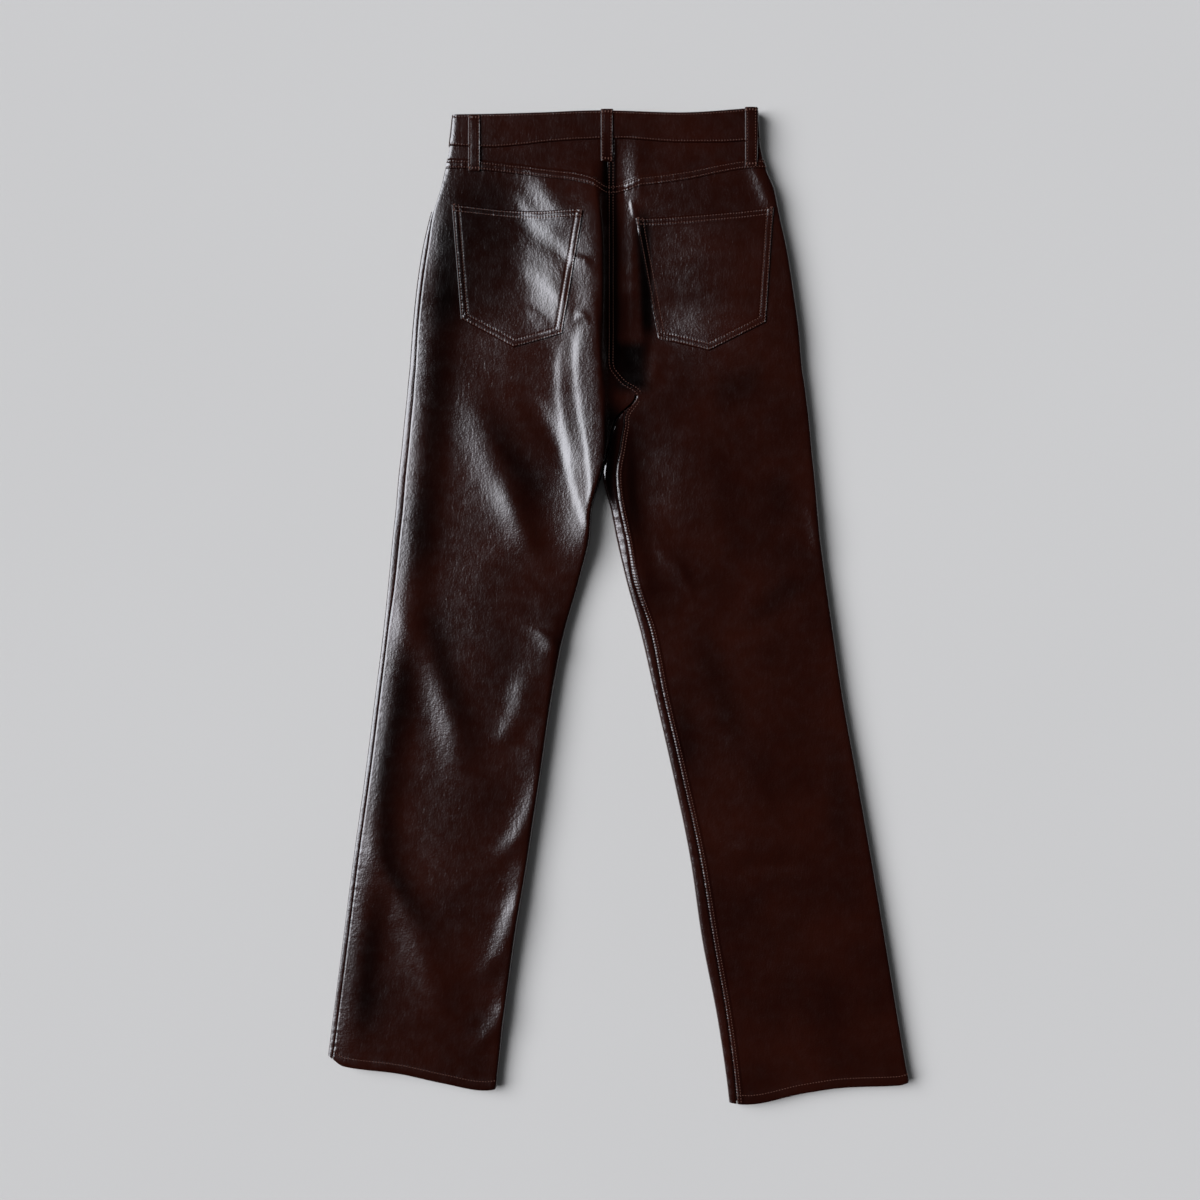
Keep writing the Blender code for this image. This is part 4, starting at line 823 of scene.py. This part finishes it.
# --------------------------------------------------------------------------- belt loops
# Five loops, cut as strips of the same leather, folded to 13 mm wide and stitched down both edges. They are laid over
# the waistband and tacked down at both ends.
LOOP_WIDTH = 13.2
LOOP_WALL = 2.0
LOOP_STAND = 0.6
LOOP_STITCHES = (2.2,)
LOOP_GROOVE = 0.3
BACK_LOOPS = {"loop_back_left": ("left", -154.1, 9.0, 69.0), "loop_back_centre": ("right", -12.6, 2.7, 58.3),
              "loop_back_right": ("right", 141.4, 0.6, 64.5)}
FRONT_LOOPS = {"loop_front_left": -108.0, "loop_front_right": 84.0}
FRONT_LOOP_TOP = 6.5
FRONT_LOOP_BOTTOM = 64.0
FRONT_LOOP_WALL = 1.8
FRONT_LOOP_HEIGHT = 0.1
loop_pieces = {}
for name, (side, middle, top, bottom) in BACK_LOOPS.items():
    down = np.repeat(np.linspace(top, bottom, 46)[:, None], 15, axis=1)
    centre = np.abs(middle - section("outer_" + side, down)) - ROLL_TOP + ROLL_TOP_PATH
    aside = np.linspace(-0.5, 0.5, 15) * LOOP_WIDTH
    x, z = over_points(side, down, centre + aside)
    points = placed(x, down, z)
    points += outward(points) * (LOOP_STAND + LOOP_WALL)
    edge = LOOP_WIDTH / 2 - np.abs(aside)
    ends = np.minimum(down - top, bottom - down)
    detail = (edge_round(edge, 1.2) + edge_round(ends, 1.2) + stitch_grooves(edge, LOOP_STITCHES, LOOP_GROOVE)
              - 0.7 * np.exp(-((ends - 3.0) / 2.2) ** 2))
    loop_pieces[name] = leather_piece(name + "_strip", shell(name, points, detail, LOOP_WALL), main_leather, name)
for name, middle in FRONT_LOOPS.items():
    down = np.repeat(np.linspace(FRONT_LOOP_TOP, FRONT_LOOP_BOTTOM, 30)[:, None], 9, axis=1)
    aside = np.linspace(-0.5, 0.5, 9) * LOOP_WIDTH
    points = placed(middle + aside, down, FRONT_LOOP_HEIGHT)
    edge = LOOP_WIDTH / 2 - np.abs(aside)
    ends = np.minimum(down - FRONT_LOOP_TOP, FRONT_LOOP_BOTTOM - down)
    detail = edge_round(edge, 0.8) + edge_round(ends, 0.8) + stitch_grooves(edge, LOOP_STITCHES, LOOP_GROOVE)
    loop_pieces[name] = leather_piece(name + "_strip", shell(name, points, detail, FRONT_LOOP_WALL, up=False),
                                      main_leather, name)

# --------------------------------------------------------------------------- patch pockets
# Two five-cornered patch pockets on the seat, turned in at the edges and double-stitched along the sides and the
# point, with a hem across the top.
POCKETS = {
    "left": {"top": ((-178.4, 104.3), (-127.1, 109.7), (-84.3, 112.9), (-44.7, 111.8), (-37.7, 114.0)),
             "bottom": ((-168.8, 226.8), (-112.6, 257.3), (-60.2, 243.4))},
    "right": {"top": ((17.9, 117.7), (44.1, 117.2), (86.9, 115.0), (129.7, 111.8), (165.6, 107.5)),
              "bottom": ((42.7, 246.6), (96.6, 260.5), (157.0, 230.6))},
}
POCKET_WALL = 1.3
POCKET_ACROSS = 96
POCKET_DOWN = 90
POCKET_PRESSED = 0.85
POCKET_STITCHES = (1.7, 7.3)
POCKET_HEM = 8.0
POCKET_HEM_STITCHES = (2.1, 6.8)


def edge_points(route, shares):
    """Points at these shares of a straight-sided route, by its x."""
    route = np.array(route, float)
    x = route[0, 0] + (route[-1, 0] - route[0, 0]) * shares
    return x, np.interp(x, route[:, 0], route[:, 1])


def line_distance(x, down, start, end):
    """Distance of each point from a straight edge."""
    run = np.array(end, float) - np.array(start, float)
    return np.abs((x - start[0]) * run[1] - (down - start[1]) * run[0]) / np.hypot(*run)


def top_height(side, x, down):
    """Height of the back's outer face at x."""
    way = np.abs(x - section("outer_" + side, down)) - ROLL_TOP + ROLL_TOP_PATH
    return over_points(side, down, way)[1]


def crowded(count, length):
    """Shares 0 to 1, twelve of them within the 10 mm at each end, where the stitched edges are."""
    near = np.linspace(0.0, 10.0, 12) / length
    return np.concatenate([near, np.linspace(near[-1], 1 - near[-1], count - 22)[1:-1], 1 - near[::-1]])


pocket_pieces = {}
for side, edges in POCKETS.items():
    shares, fall = crowded(POCKET_ACROSS, 140), crowded(POCKET_DOWN, 130)[:, None]
    top_x, top_down = edge_points(edges["top"], shares)
    low_x, low_down = edge_points(edges["bottom"], shares)
    x, down = top_x + (low_x - top_x) * fall, top_down + (low_down - top_down) * fall
    points = placed(x, down, top_height(side, x, down))
    points += outward(points) * (LAY_GAP + POCKET_WALL)
    left_side = line_distance(x, down, edges["top"][0], edges["bottom"][0])
    right_side = line_distance(x, down, edges["top"][-1], edges["bottom"][2])
    sides = np.minimum(left_side, right_side)
    foot = np.minimum(line_distance(x, down, edges["bottom"][0], edges["bottom"][1]),
                      line_distance(x, down, edges["bottom"][1], edges["bottom"][2]))
    around = np.minimum(sides, foot)
    from_top = down - top_down
    # The right pocket's left side is pressed flat beside the fold down the seat.
    pressed = POCKET_PRESSED * (side == "right") * ease((12.0 - left_side) / 4.0) * ease((down - 125.0) / 15.0)
    detail = ((1 - pressed) * (edge_round(np.minimum(around, from_top), 1.0)
                               + stitch_grooves(around, POCKET_STITCHES))
              + stitch_grooves(from_top, POCKET_HEM_STITCHES) + 0.25 * lapped(from_top, POCKET_HEM, 3.0)
              + puckers(around, x + down, 0.1, 7.0))
    name = "pocket_back_" + side
    mesh = shell(name, points, detail, POCKET_WALL)
    # Painted shade: darkens the colour where shade falls.
    mark_painted_shade(mesh, x, down)
    mark(mesh, "rows_across", near_rows(from_top, POCKET_HEM_STITCHES) + near_rows(foot, POCKET_STITCHES))
    mark(mesh, "rows_down", near_rows(sides, POCKET_STITCHES) * (1 - pressed))
    pocket_pieces[side] = leather_piece(name + "_patch", mesh, main_leather, name)
    lay_sheet(pocket_pieces[side], np.abs(x[:, -1] - x[:, 0]), down.mean(axis=1), [back_pieces[side]])

# --------------------------------------------------------------------------- topstitching
# Core-spun polyester thread a shade lighter than the leather, about eight stitches to the inch. Double rows hold the
# laps and the pockets, a single row holds each hem, and bar tacks hold the pockets' corners and the loops' ends.
STITCH_LENGTH = 1.6
THREAD_WIDTH = 1.1
THREAD_LIFT = 0.1
LONGEST_STEP = 3.0
STEEPEST = 0.12
THREAD_MOTTLE = 4.0
# Real thread's twist is about three times finer, too fine to show.
THREAD_TWIST, TWIST_HEIGHT = 1.1, 0.1


def sewing_thread(name, colour):
    """Core-spun polyester thread: dull, with its twist as fine slanting ribs."""
    material, tree, shader, place = new_material(name)
    tone = add_node(tree, "ShaderNodeTexNoise", {"Vector": place, "Scale": 1 / (THREAD_MOTTLE * MM)})
    shaded = [value * 0.6 for value in srgb(colour)[:3]] + [1.0]
    mixed = add_node(tree, "ShaderNodeMix", {"Factor": tone.outputs["Fac"], 6: srgb(colour), 7: shaded},
                     data_type="RGBA")
    tree.links.new(mixed.outputs[2], shader.inputs["Base Color"])
    ribs = add_node(tree, "ShaderNodeTexWave", {"Vector": place, "Scale": 1 / (THREAD_TWIST * MM)},
                    bands_direction="DIAGONAL")
    bump = add_node(tree, "ShaderNodeBump", {"Height": ribs.outputs["Fac"], "Distance": TWIST_HEIGHT * MM})
    tree.links.new(bump.outputs["Normal"], shader.inputs["Normal"])
    shader.inputs["Roughness"].default_value = 0.5
    shader.inputs["Specular IOR Level"].default_value = 0.15
    return material


def stitch_tree(name):
    """Geometry Nodes: a rounded stitch at each pitch along the seam lines, lying along them."""
    tree = bpy.data.node_groups.new(name, "GeometryNodeTree")
    inputs = {}
    for label, kind in (("Geometry", "Geometry"), ("Pitch", "Float"), ("Stitch length", "Float"),
                        ("Thread width", "Float"), ("Material", "Material")):
        socket = tree.interface.new_socket(label, in_out="INPUT", socket_type="NodeSocket" + kind)
        inputs[label] = socket.identifier
    tree.interface.new_socket("Geometry", in_out="OUTPUT", socket_type="NodeSocketGeometry")
    given = add_node(tree, "NodeGroupInput").outputs
    line = add_node(tree, "GeometryNodeMeshToCurve", {"Mesh": given["Geometry"]})
    even = add_node(tree, "GeometryNodeResampleCurve", {"Curve": line.outputs["Curve"], "Length": given["Pitch"]},
                    mode="LENGTH")
    tangent = add_node(tree, "GeometryNodeInputTangent")
    turn = add_node(tree, "FunctionNodeAlignEulerToVector", {"Vector": tangent.outputs["Tangent"]}, axis="X")
    ball = add_node(tree, "GeometryNodeMeshUVSphere", {"Segments": 6, "Rings": 5, "Radius": 0.5})
    size = add_node(tree, "ShaderNodeCombineXYZ", {"X": given["Stitch length"], "Y": given["Thread width"],
                                                   "Z": given["Thread width"]})
    put = add_node(tree, "GeometryNodeInstanceOnPoints", {
        "Points": even.outputs["Curve"], "Instance": ball.outputs["Mesh"], "Rotation": turn.outputs["Rotation"],
        "Scale": size.outputs["Vector"]})
    real = add_node(tree, "GeometryNodeRealizeInstances", {"Geometry": put.outputs["Instances"]})
    smooth = add_node(tree, "GeometryNodeSetShadeSmooth", {"Geometry": real.outputs["Geometry"]})
    painted = add_node(tree, "GeometryNodeSetMaterial", {"Geometry": smooth.outputs["Geometry"],
                                                         "Material": given["Material"]})
    add_node(tree, "NodeGroupOutput", {"Geometry": painted.outputs["Geometry"]})
    return tree, inputs


thread = sewing_thread("core spun thread", "#5a3b31")
stitch_nodes, stitch_inputs = stitch_tree("stitch rows")


def surface_under(objects):
    """All these pieces as one surface to lay stitches on."""
    corners, faces = [], []
    for piece in objects:
        mesh = piece.data
        found = np.empty(len(mesh.vertices) * 3)
        mesh.vertices.foreach_get("co", found)
        faces += [tuple(index + len(corners) for index in face.vertices) for face in mesh.polygons]
        corners += found.reshape(-1, 3).tolist()
    return BVHTree.FromPolygons(corners, faces)


def aside_of(route, distance):
    """The route moved aside: positive is to the right of its direction on a plan with x across and down."""
    route = np.array(route, float)
    run = np.gradient(route, axis=0)
    run /= np.linalg.norm(run, axis=1, keepdims=True)
    return route + np.stack([-run[:, 1], run[:, 0]], axis=1) * distance


def dense(route, step=1.0):
    """The route with a point every step."""
    route = np.array(route, float)
    way = np.concatenate([[0.0], np.cumsum(np.linalg.norm(np.diff(route, axis=0), axis=1))])
    at = np.linspace(0.0, way[-1], max(2, int(way[-1] / step) + 1))
    return np.stack([np.interp(at, way, route[:, 0]), np.interp(at, way, route[:, 1])], axis=1)


def rows_of_pieces(name, points, edges, sizes, material):
    """Small rounded pieces at each pitch along these lines, as one mesh. sizes: pitch, length and width."""
    mesh = bpy.data.meshes.new(name)
    mesh.from_pydata(points, edges, [])
    rows = bpy.data.objects.new(name, mesh)
    bpy.context.scene.collection.objects.link(rows)
    repeat = rows.modifiers.new("rows", "NODES")
    repeat.node_group = stitch_nodes
    for label, value in zip(("Pitch", "Stitch length", "Thread width"), sizes):
        repeat[stitch_inputs[label]] = value * MM
    repeat[stitch_inputs["Material"]] = material
    finished = bpy.data.meshes.new_from_object(rows.evaluated_get(bpy.context.evaluated_depsgraph_get()))
    rows.modifiers.clear()
    rows.data = finished
    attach(rows, "root")
    return rows


def sew(name, surface, routes, from_above=True):
    """Rows of stitches laid on the surface along routes of x and distance down."""
    points, edges = [], []
    start_z, fall = (100 * MM, Vector((0, 0, -1))) if from_above else (-100 * MM, Vector((0, 0, 1)))
    for route in routes:
        before = None
        for x, down in dense(route):
            hit, normal, _, _ = surface.ray_cast(Vector((x * MM, (TOP_Y - down) * MM, start_z)), fall)
            if hit is None or normal.z * fall.z > -STEEPEST:
                before = None
                continue
            points.append(hit + normal * THREAD_LIFT * MM)
            if before is not None and (points[-1] - points[before]).length < LONGEST_STEP * MM:
                edges.append((before, len(points) - 1))
            before = len(points) - 1
    return rows_of_pieces(name, points, edges, (STITCH_PITCH, STITCH_LENGTH, THREAD_WIDTH), thread)


def bar_tack(x, down, angle, length=8.0):
    """A short dense bar of stitches, as three rows side by side."""
    run = np.array([math.cos(angle), math.sin(angle)]) * length / 2
    side_step = np.array([-math.sin(angle), math.cos(angle)]) * THREAD_WIDTH / 2
    middle = np.array([x, down])
    return [[middle - run + side_step * i, middle + run + side_step * i] for i in (-1, 0, 1)]


def route_along(seam, low, high, offset, count=60):
    """A row of stitches this far below a seam that runs across."""
    x = np.linspace(low, high, count)
    return np.stack([x, across(seam, x) + offset], axis=1)


YOKE_THREADS = (1.9, 7.4)
SEAT_THREADS = (1.8, 6.0)
INSEAM_THREADS = (1.7, 4.8)
POCKET_THREADS = (1.8, 7.3)
POCKET_HEM_THREADS = (2.2, 6.9)
POCKET_TACKS = ((-175.5, 107.0), (-41.0, 115.5), (-61.5, 238.0), (21.0, 120.0), (162.5, 110.5))
top_surface = surface_under([*back_pieces.values(), *yoke_pieces.values()])
routes = [route_along(YOKE_SEAM, low, high, -offset) for low, high in ((-183.0, -13.5), (-10.5, 158.0))
          for offset in YOKE_THREADS]
down = np.linspace(44.0, CROTCH_DOWN - 1.0, 150)
seat_seam = np.stack([section("inner_right", down), down], axis=1)
routes += [aside_of(seat_seam, -offset) for offset in SEAT_THREADS]
down = np.linspace(CROTCH_DOWN + 4.0, 1064.0, 300)
edge_in = section("inseam", down) * ease((down - CROTCH_DOWN) / INSEAM_OVER_FADE)
leg_seam = np.stack([section("inner_right", down) + edge_in, down], axis=1)
routes += [aside_of(leg_seam, -offset) for offset in INSEAM_THREADS]
for side, (low, high) in (("left", (-309.0, -133.0)), ("right", (121.0, 309.0))):
    routes.append(route_along(HEM[side], low, high, -HEM_STITCHES[0]))
sew("stitches_panels", top_surface, routes)

routes = []
for side, edges in POCKETS.items():
    outline = [edges["top"][0], edges["bottom"][0], edges["bottom"][1], edges["bottom"][2], edges["top"][-1]]
    corners = np.array(outline, float)
    for offset in POCKET_THREADS:
        inside = []
        for i, corner in enumerate(corners):
            before = corners[i] - corners[i - 1] if i else corners[1] - corners[0]
            after = corners[i + 1] - corners[i] if i < 4 else corners[4] - corners[3]
            before, after = before / np.hypot(*before), after / np.hypot(*after)
            first, second = np.array([before[1], -before[0]]), np.array([after[1], -after[0]])
            inside.append(corner + (first + second) * offset / (1 + float(first @ second)))
        routes.append(inside)
    for offset in POCKET_HEM_THREADS:
        x, down = edge_points(edges["top"], np.linspace(0.02, 0.98, 60))
        routes.append(np.stack([x, down + offset], axis=1))
for x, down in POCKET_TACKS:
    routes += bar_tack(x, down, math.pi / 2, 6.0)
sew("stitches_pockets", surface_under(pocket_pieces.values()), routes)

sew("stitches_waistband", surface_under([waistband]),
    [route_along(WAIST_TOP, -176.0, 147.0, BAND_TOP_STITCHES[0], 120),
     route_along(WAIST_SEAM, -180.0, 150.0, -BAND_SEAM_STITCHES[0], 120)])


def loop_routes(middle, top, bottom):
    """A row down each edge of a belt loop, and a bar tack at each end."""
    half = LOOP_WIDTH / 2 - LOOP_STITCHES[0]
    rows = [[(middle + aside, top + 1.0), (middle + aside, bottom - 1.0)] for aside in (-half, half)]
    return rows + bar_tack(middle, top + 3.0, 0.0, 10.0) + bar_tack(middle, bottom - 3.0, 0.0, 10.0)


routes = []
for side, middle, top, bottom in BACK_LOOPS.values():
    routes += loop_routes(middle, top, bottom)
sew("stitches_loops", surface_under([loop_pieces[name] for name in BACK_LOOPS]), routes)

# The front is stitched the same way: the pocket openings and hems with two rows and one, the centre seam and the
# curved line that holds the fly with two.
SCOOP_THREADS = (2.0, 7.5)
FRONT_THREADS = (1.7, 7.2)
FLY_CURVES = (32.0, 38.0)
FLY_TOP = 43.0
FLY_BEND = 150.0
routes = []
for side, inward in (("left", 1.0), ("right", -1.0)):
    corner = float(section("outer_" + side, WAIST_LINE))
    turn = np.linspace(0.06, math.pi / 2 - 0.2, 60)
    for offset in SCOOP_THREADS:
        routes.append(np.stack([corner + inward * (SCOOP_WIDTH + offset) * np.cos(turn),
                                WAIST_LINE + (SCOOP_DEPTH + offset) * np.sin(turn)], axis=1))
    routes.append(route_along(HEM[side], HEM[side][0][0] + 3.0, HEM[side][-1][0] - 3.0, -HEM_STITCHES[0]))
down = np.linspace(WAIST_LINE + 4.0, CROTCH_DOWN - 4.0, 90)
front_line = np.stack([front_seam(down), down], axis=1)
routes += [aside_of(front_line, offset) for offset in FRONT_THREADS]
bend = np.linspace(0.0, math.pi / 2, 24)
for reach in FLY_CURVES:
    straight = [(front_seam(FLY_BEND) + reach, FLY_TOP), (front_seam(FLY_BEND) + reach, FLY_BEND)]
    curve = [(front_seam(FLY_BEND) + reach * math.cos(turn), FLY_BEND + 1.2 * reach * math.sin(turn))
             for turn in bend]
    routes.append(straight + curve[1:])
sew("stitches_fronts", surface_under(front_pieces.values()), routes, from_above=False)
sew("stitches_waistband_front", surface_under([waistband]),
    [route_along(WAIST_TOP, -172.0, 145.0, BAND_TOP_STITCHES[0], 120),
     route_along(WAIST_SEAM, -172.0, 145.0, -BAND_SEAM_STITCHES[0], 120)], from_above=False)
routes = []
for middle in FRONT_LOOPS.values():
    routes += loop_routes(middle, FRONT_LOOP_TOP, FRONT_LOOP_BOTTOM)
sew("stitches_loops_front", surface_under([loop_pieces[name] for name in FRONT_LOOPS]), routes, from_above=False)

# --------------------------------------------------------------------------- fly, zip and button
# The closed zip lies behind the centre front seam, with a satin leather shield behind it. A plated tack button, with
# a rolled rim and a raised middle, fastens the band.
FLY_WIDTH = 42.0
FLY_SHIFT = 4.0
SHIELD_BOTTOM = 196.0
SHIELD_HEIGHT = 6.0
SHIELD_WALL = 1.1
down = np.repeat(np.linspace(FLY_TOP, SHIELD_BOTTOM, 60)[:, None], 22, axis=1)
aside = np.linspace(-0.5, 0.5, 22) * FLY_WIDTH
points = placed(front_seam(down) + FLY_SHIFT + aside, down, SHIELD_HEIGHT + floor_lift(down))
edge = np.minimum(FLY_WIDTH / 2 - np.abs(aside), np.minimum(down - FLY_TOP, SHIELD_BOTTOM - down))
detail = edge_round(edge, 0.7) + stitch_grooves(edge, (3.0,)) - 0.05
shield = leather_piece("fly_shield_piece", shell("fly_shield", points, detail, SHIELD_WALL), satin_leather,
                       "fly_shield")


PLATE_MOTTLE = 1.5
SCRATCH_SIZE = 0.6


def plated_metal(name, light, dark, roughness):
    """Nickel-plated brass with a dark finish, slightly mottled and finely scratched."""
    material, tree, shader, place = new_material(name)
    shader.inputs["Metallic"].default_value = 1.0
    tone = add_node(tree, "ShaderNodeTexNoise", {"Vector": place, "Scale": 1 / (PLATE_MOTTLE * MM)})
    mixed = add_node(tree, "ShaderNodeMix", {"Factor": tone.outputs["Fac"], 6: srgb(light), 7: srgb(dark)},
                     data_type="RGBA")
    tree.links.new(mixed.outputs[2], shader.inputs["Base Color"])
    scratches = add_node(tree, "ShaderNodeTexNoise", {"Vector": place, "Scale": 1 / (SCRATCH_SIZE * MM),
                                                      "Detail": 4.0})
    wear = add_node(tree, "ShaderNodeMapRange", {"Value": scratches.outputs["Fac"], "To Min": roughness - 0.08,
                                                 "To Max": roughness + 0.1})
    tree.links.new(wear.outputs["Result"], shader.inputs["Roughness"])
    return material


nickel = plated_metal("dark nickel plate", "#7b7772", "#5c5854", 0.3)
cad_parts["zip"].data.materials.clear()
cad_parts["zip"].data.materials.append(nickel)
TOOTH_PITCH = 1.6
TOOTH_LENGTH = 1.0
TOOTH_WIDTH = 1.5
TEETH_HEIGHT = 3.4
zip_down = np.arange(60.0, 185.0, 1.0)
points, edges = [], []
for aside in (-TOOTH_PITCH / 2, TOOTH_PITCH / 2):
    start = len(points)
    points += [Vector((front_seam(at) + aside, TOP_Y - at - aside / 2, floor_lift(at) + TEETH_HEIGHT)) * MM
               for at in zip_down]
    edges += [(i, i + 1) for i in range(start, len(points) - 1)]
rows_of_pieces("zip_teeth", points, edges, (TOOTH_PITCH, TOOTH_LENGTH, TOOTH_WIDTH), nickel)

# The button's radii and heights, from the middle of its face over its rim to the middle of its back.
BUTTON_PROFILE = ((0.0, 0.30), (1.3, 0.25), (2.1, 0.45), (2.6, 0.80), (5.6, 0.80), (6.2, 0.45), (6.9, 0.12), (7.5, 0.0),
                  (8.1, 0.15), (8.45, 0.6), (8.45, 1.3), (8.1, 1.75), (7.4, 1.95), (0.0, 1.95))
BUTTON_SIDES = 64
BUTTON_DOWN = 22.0
profile = np.array(BUTTON_PROFILE)
turn = np.linspace(0.0, 2 * math.pi, BUTTON_SIDES, endpoint=False)
corners = [(0.0, 0.0, profile[0, 1])]
for radius, z in profile[1:-1]:
    corners += [(radius * math.cos(a), radius * math.sin(a), z) for a in turn]
corners.append((0.0, 0.0, profile[-1, 1]))
faces = []
for ring_number in range(len(profile) - 3):
    first = 1 + ring_number * BUTTON_SIDES
    for i in range(BUTTON_SIDES):
        following = (i + 1) % BUTTON_SIDES
        faces.append((first + i, first + BUTTON_SIDES + i, first + BUTTON_SIDES + following, first + following))
last_ring = 1 + (len(profile) - 3) * BUTTON_SIDES
for i in range(BUTTON_SIDES):
    following = (i + 1) % BUTTON_SIDES
    faces.append((0, 1 + i, 1 + following))
    faces.append((len(corners) - 1, last_ring + following, last_ring + i))
button_mesh = bpy.data.meshes.new("waist_button")
centre = np.array([front_seam(BUTTON_DOWN), TOP_Y - BUTTON_DOWN, 0.0])
button_mesh.from_pydata(((np.array(corners) + centre) * MM).tolist(), [], faces)
button_mesh.update()
if sum(face.normal.z * face.area for face in button_mesh.polygons if face.center.z > 1.9 * MM) < 0:
    button_mesh.flip_normals()
leather_piece("waist_button_piece", button_mesh, nickel, "waist_button")

# --------------------------------------------------------------------------- floor, light and camera
# A plain pale floor of matt painted board, lit by one soft window on the left and a dim fill from all round, with the
# camera straight above.
floor_mesh = bpy.data.meshes.new("floor")
floor_mesh.from_pydata([(-6, -6, 0), (6, -6, 0), (6, 6, 0), (-6, 6, 0)], [], [(0, 1, 2, 3)])
floor = bpy.data.objects.new("floor", floor_mesh)
bpy.context.scene.collection.objects.link(floor)
# Matt paint that gives no shine, with a slight unevenness in its tone.
floor_paint, floor_tree, floor_shader, floor_place = new_material("matt painted board")
floor_tone = add_node(floor_tree, "ShaderNodeTexNoise", {"Vector": floor_place, "Scale": 1.5})
floor_colour = add_node(floor_tree, "ShaderNodeMix", {"Factor": floor_tone.outputs["Fac"], 6: srgb("#b4b2ae"),
                                                      7: srgb("#b0aeaa")}, data_type="RGBA")
floor_tree.links.new(floor_colour.outputs[2], floor_shader.inputs["Base Color"])
floor_shader.inputs["Roughness"].default_value = 0.9
floor_shader.inputs["Specular IOR Level"].default_value = 0.1
floor_mesh.materials.append(floor_paint)

# The window: how far it reaches round and how high, in degrees from straight left and above the floor.
WINDOW_FROM_LEFT = 14.0
WINDOW_HALF_WIDTH = 27.0
WINDOW_LOW = 18.0
WINDOW_HIGH = 60.0
WINDOW_SOFTNESS = 6.0
WINDOW_TOP_SOFTNESS = 10.0
WINDOW_STRENGTH = 14.0
ROOM_STRENGTH = 0.002
FILL_STRENGTH = 0.11
world = bpy.data.worlds.new("room with one window")
bpy.context.scene.world = world
world.use_nodes = True
sky = world.node_tree
looking = add_node(sky, "ShaderNodeSeparateXYZ",
                   {"Vector": add_node(sky, "ShaderNodeTexCoord").outputs["Generated"]})
to_left = add_node(sky, "ShaderNodeMath", {0: looking.outputs["X"], 1: -1.0}, operation="MULTIPLY")
round_by = add_node(sky, "ShaderNodeMath", {0: looking.outputs["Y"], 1: to_left.outputs["Value"]}, operation="ARCTAN2")
up_by = add_node(sky, "ShaderNodeMath", {0: looking.outputs["Z"]}, operation="ARCSINE")
near, far = WINDOW_FROM_LEFT - WINDOW_HALF_WIDTH, WINDOW_FROM_LEFT + WINDOW_HALF_WIDTH
# Each edge of the window: which angle passes it, where the pane is still dark, and where it is fully bright.
WINDOW_EDGES = ((round_by, near - WINDOW_SOFTNESS, near + WINDOW_SOFTNESS),
                (round_by, far + WINDOW_SOFTNESS, far - WINDOW_SOFTNESS),
                (up_by, WINDOW_LOW - WINDOW_SOFTNESS, WINDOW_LOW + WINDOW_SOFTNESS),
                (up_by, WINDOW_HIGH + WINDOW_TOP_SOFTNESS, WINDOW_HIGH - WINDOW_TOP_SOFTNESS))
pane = 1.0
for angle, dark, bright in WINDOW_EDGES:
    edge = add_node(sky, "ShaderNodeMapRange", {
        "Value": angle.outputs["Value"], "From Min": math.radians(dark), "From Max": math.radians(bright)},
        interpolation_type="SMOOTHSTEP")
    pane = add_node(sky, "ShaderNodeMath", {0: pane, 1: edge.outputs["Result"]}, operation="MULTIPLY").outputs["Value"]
bright = add_node(sky, "ShaderNodeMath", {0: pane, 1: WINDOW_STRENGTH, 2: ROOM_STRENGTH}, operation="MULTIPLY_ADD")
gloss = add_node(sky, "ShaderNodeLightPath").outputs["Is Glossy Ray"]
fill = add_node(sky, "ShaderNodeMath", {0: gloss, 1: -FILL_STRENGTH, 2: FILL_STRENGTH}, operation="MULTIPLY_ADD")
bright = add_node(sky, "ShaderNodeMath", {0: bright.outputs["Value"], 1: fill.outputs["Value"]}, operation="ADD")
sky.nodes["Background"].inputs["Color"].default_value = srgb("#f4f7ff")
sky.links.new(bright.outputs["Value"], sky.nodes["Background"].inputs["Strength"])
view = bpy.context.scene.view_settings
view.view_transform = "Standard"
view.look = "None"

VIEW_WIDTH = 1.284
CAMERA_HEIGHT = 1.6
CAMERA_ACROSS = -0.02006
CAMERA_UP = 0.00669
GARMENT_MIDDLE = 0.013
camera_data = bpy.data.cameras.new("camera")
camera_data.sensor_width = 36.0
camera_data.lens = camera_data.sensor_width * CAMERA_HEIGHT / VIEW_WIDTH
camera = bpy.data.objects.new("camera", camera_data)
camera.location = (CAMERA_ACROSS, CAMERA_UP, CAMERA_HEIGHT + GARMENT_MIDDLE)
bpy.context.scene.collection.objects.link(camera)
bpy.context.scene.camera = camera
